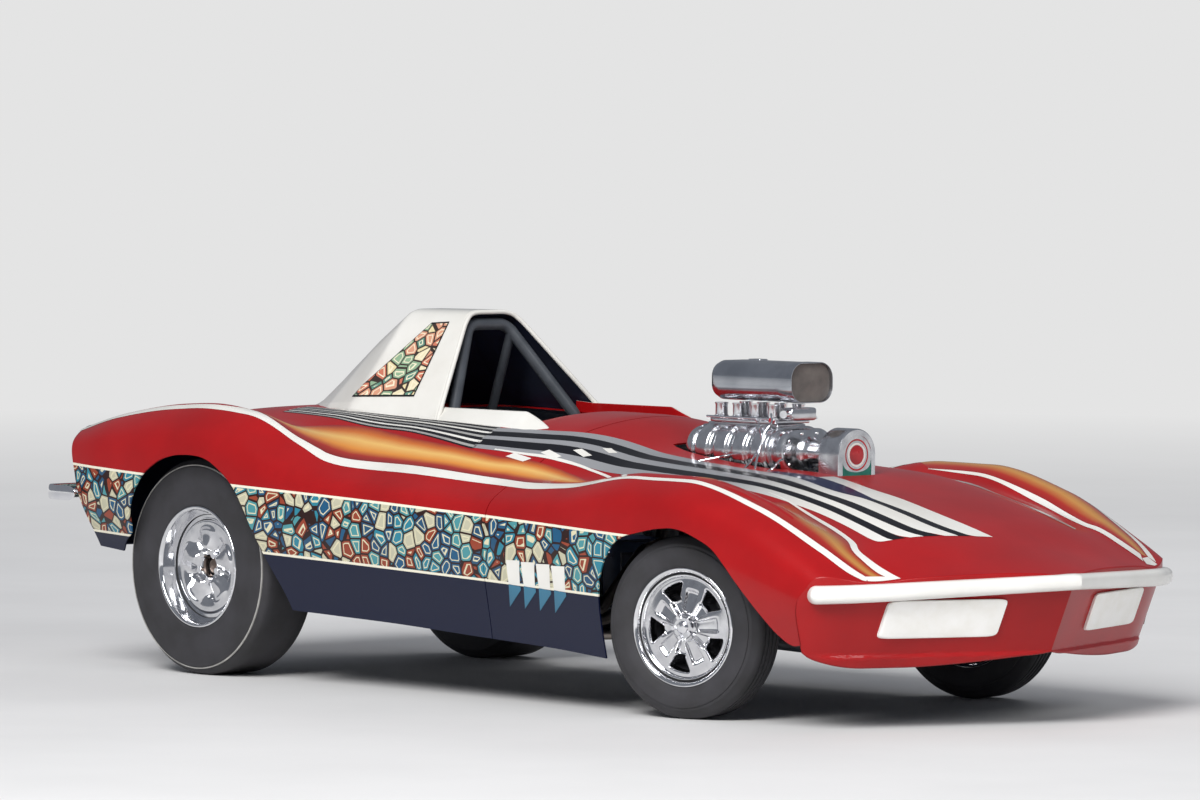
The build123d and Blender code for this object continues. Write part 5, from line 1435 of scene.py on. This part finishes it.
seatMesh = nodes[pad["node"]].data.copy()
seatPad = newObject("padded_seat", seatMesh)
shape = bmesh.new()
shape.from_mesh(seatMesh)
bmesh.ops.remove_doubles(shape, verts=shape.verts, dist=1e-5)
bmesh.ops.recalc_face_normals(shape, faces=shape.faces)
shape.to_mesh(seatMesh)
shape.free()
remesh = seatPad.modifiers.new("voxels", "REMESH")
remesh.mode, remesh.voxel_size = "VOXEL", pad["voxel"]
bake(seatPad)
start = vertexRows(seatPad.data) - vertexRows(seatPad.data, "normal") * pad["shrink"]
seatPad.data.vertices.foreach_set("co", start.ravel())
cloth = seatPad.modifiers.new("cloth", "CLOTH").settings
cloth.use_pressure, cloth.uniform_pressure_force = True, pad["pressure"]
cloth.effector_weights.gravity = 0
for frameNumber in range(1, pad["frames"] + 1):
    bpy.context.scene.frame_set(frameNumber)
bake(seatPad)
bpy.context.scene.frame_set(1)
moved = vertexRows(seatPad.data) - start
far = np.linalg.norm(moved, axis=1, keepdims=True)
swollen = start + moved * np.minimum(1, pad["cap"] / np.maximum(far, 1e-9))
# Sewn channels: narrow grooves that run along the seat, where its faces look up or ahead
facing = vertexRows(seatPad.data, "normal")
showing = np.clip((np.maximum(facing[:, 2], facing[:, 0]) - 0.55) / 0.2, 0, 1)
showing *= np.abs(swollen[:, 1]) < 0.17
fromSeam = (swollen[:, 1] / pad["channel"] + 0.5) % 1 - 0.5
depth = pad["groove"] * np.exp(-(fromSeam * pad["channel"] / pad["grooveWide"]) ** 2) * showing
swollen = swollen - facing * depth[:, None]
boxLow, boxHigh = (np.array(corner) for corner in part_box(pad["node"]))
swollen = np.clip(swollen, boxLow + 0.0003, boxHigh - 0.0003)
seatPad.data.vertices.foreach_set("co", swollen.ravel())
seatPad.data.materials.clear()
seatPad.data.materials.append(finish["vinyl"])
seatPad.data.polygons.foreach_set("use_smooth", [True] * len(seatPad.data.polygons))
finer = seatPad.modifiers.new("smooth", "SUBSURF")
finer.levels = finer.render_levels = 1
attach(seatPad, "chassis")
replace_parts(seatPad, pad["node"])
print("padded seat made")


# Camera and stage
view = {"place": (20.6527, -18.9535, 2.185), "yaw": 0.8317, "pitch": 0.0406, "roll": 0.0051, "lens": 232.457,
        "sensor": 36.0}
yaw, pitch, roll = view["yaw"], view["pitch"], view["roll"]
ahead = Vector((-np.sin(yaw) * np.cos(pitch), np.cos(yaw) * np.cos(pitch), -np.sin(pitch)))
level = Vector((np.cos(yaw), np.sin(yaw), 0))
upward = level.cross(ahead)
right = level * np.cos(roll) + upward * np.sin(roll)
above = upward * np.cos(roll) - level * np.sin(roll)
camera = newObject("camera", bpy.data.cameras.new("camera"))
camera.matrix_world = Matrix.Translation(view["place"]) @ Matrix((right, above, -ahead)).transposed().to_4x4()
camera.data.sensor_width, camera.data.lens = view["sensor"], view["lens"]
camera.data.clip_end = 500
bpy.context.scene.camera = camera

studio = {"floor": ("#e2e1e0", "#dcdbda"), "sky": "#e4e4e4", "light": "#8f939b",
          "key": 520.0, "fill": 260.0, "back": 160.0, "sun": 2.0, "fadeFrom": 7.0, "fadeTo": 24.0}
floorMat, floorShader = newMaterial("painted studio floor", studio["floor"][0], 0.7)
spot, cloud = uneven(floorMat, floorShader, *studio["floor"], 1.5, 0.02, 0.0002)
distance = put(floorMat, "VectorMath", links={0: spot}, operation="LENGTH")
fade = put(floorMat, "MapRange", {"From Min": studio["fadeFrom"], "From Max": studio["fadeTo"]},
           {"Value": distance.outputs["Value"]})
glow = put(floorMat, "Emission", {"Color": linear(studio["sky"]), "Strength": 1.0})
mix = put(floorMat, "MixShader",
          links={0: fade.outputs["Result"], 1: floorShader.outputs[0], 2: glow.outputs[0]})
floorMat.node_tree.links.new(mix.outputs[0], floorMat.node_tree.nodes["Material Output"].inputs["Surface"])
reach = np.linspace(-60, 60, 5)
corners = np.stack(np.meshgrid(reach, reach, [0.0], indexing="ij"), -1).reshape(5, 5, 3)
ground = surface("floor", corners, floorMat)
ground.parent = None

world = bpy.data.worlds.new("studio")
bpy.context.scene.world = world
world.use_nodes = True
tree = world.node_tree
sky = tree.nodes["Background"]
sky.inputs["Color"].default_value = linear(studio["light"])
sky.inputs["Strength"].default_value = 0.75
pale = put(world, "Background", {"Color": linear(studio["sky"])})
rays = put(world, "LightPath").outputs
either = put(world, "Math", links={0: rays["Is Camera Ray"], 1: rays["Is Transmission Ray"]},
             operation="MAXIMUM")
blend = put(world, "MixShader", links={0: either.outputs[0], 1: sky.outputs[0], 2: pale.outputs[0]})
tree.links.new(blend.outputs[0], tree.nodes["World Output"].inputs["Surface"])


# Light of a kind at a place, shining along a direction.
def light(name, kind, place, aim, power):
    lamp = newObject(name, bpy.data.lights.new(name, kind))
    lamp.data.energy = power
    lamp.matrix_world = Matrix.Translation(place) @ Vector(aim).to_track_quat("-Z", "Y").to_matrix().to_4x4()
    return lamp


def softbox(name, place, target, size, power):
    lamp = light(name, "AREA", place, Vector(target) - Vector(place), power)
    lamp.data.shape, lamp.data.size, lamp.data.size_y = "RECTANGLE", size[0], size[1]
    return lamp


softbox("key", (4.5, -9.0, 6.5), (0, 0, 0.5), (4.5, 3.0), studio["key"])
softbox("fill", (11.0, -2.0, 6.0), (0.5, 0, 0.5), (4.0, 3.0), studio["fill"])
softbox("back", (-3.0, 8.5, 7.0), (0, 0, 0.6), (6.0, 3.0), studio["back"]).visible_glossy = False
light("sun", "SUN", (0, 0, 0), (-0.45, 0.80, -1.0), studio["sun"]).data.angle = 0.5
bpy.context.scene.view_settings.view_transform = "Standard"
print("camera and studio set")

# Finishes of the CAD pieces that stay
slotFinish = {
    "body_red": "body", "cream_paint": "white", "lamp_red": "capRed", "frame_grey": "frame",
    "sheet_aluminium": "sheet",
    "seat_black": "grip", "engine_iron": "iron", "polished_aluminium": "polished", "chrome": "chrome",
    "belt_rubber": "belt", "wire_screen": "cast", "header_steel": "header", "tyre_rubber": "tyre",
    "wheel_polished": "polished", "grip_black": "grip",
}
slots = {entry["node"]: entry["material_slot"] for entry in frame["record"]["subparts"]}
for name, node in nodes.items():
    node.data.materials.clear()
    node.data.materials.append(finish[slotFinish.get(slots.get(name), "frame")])
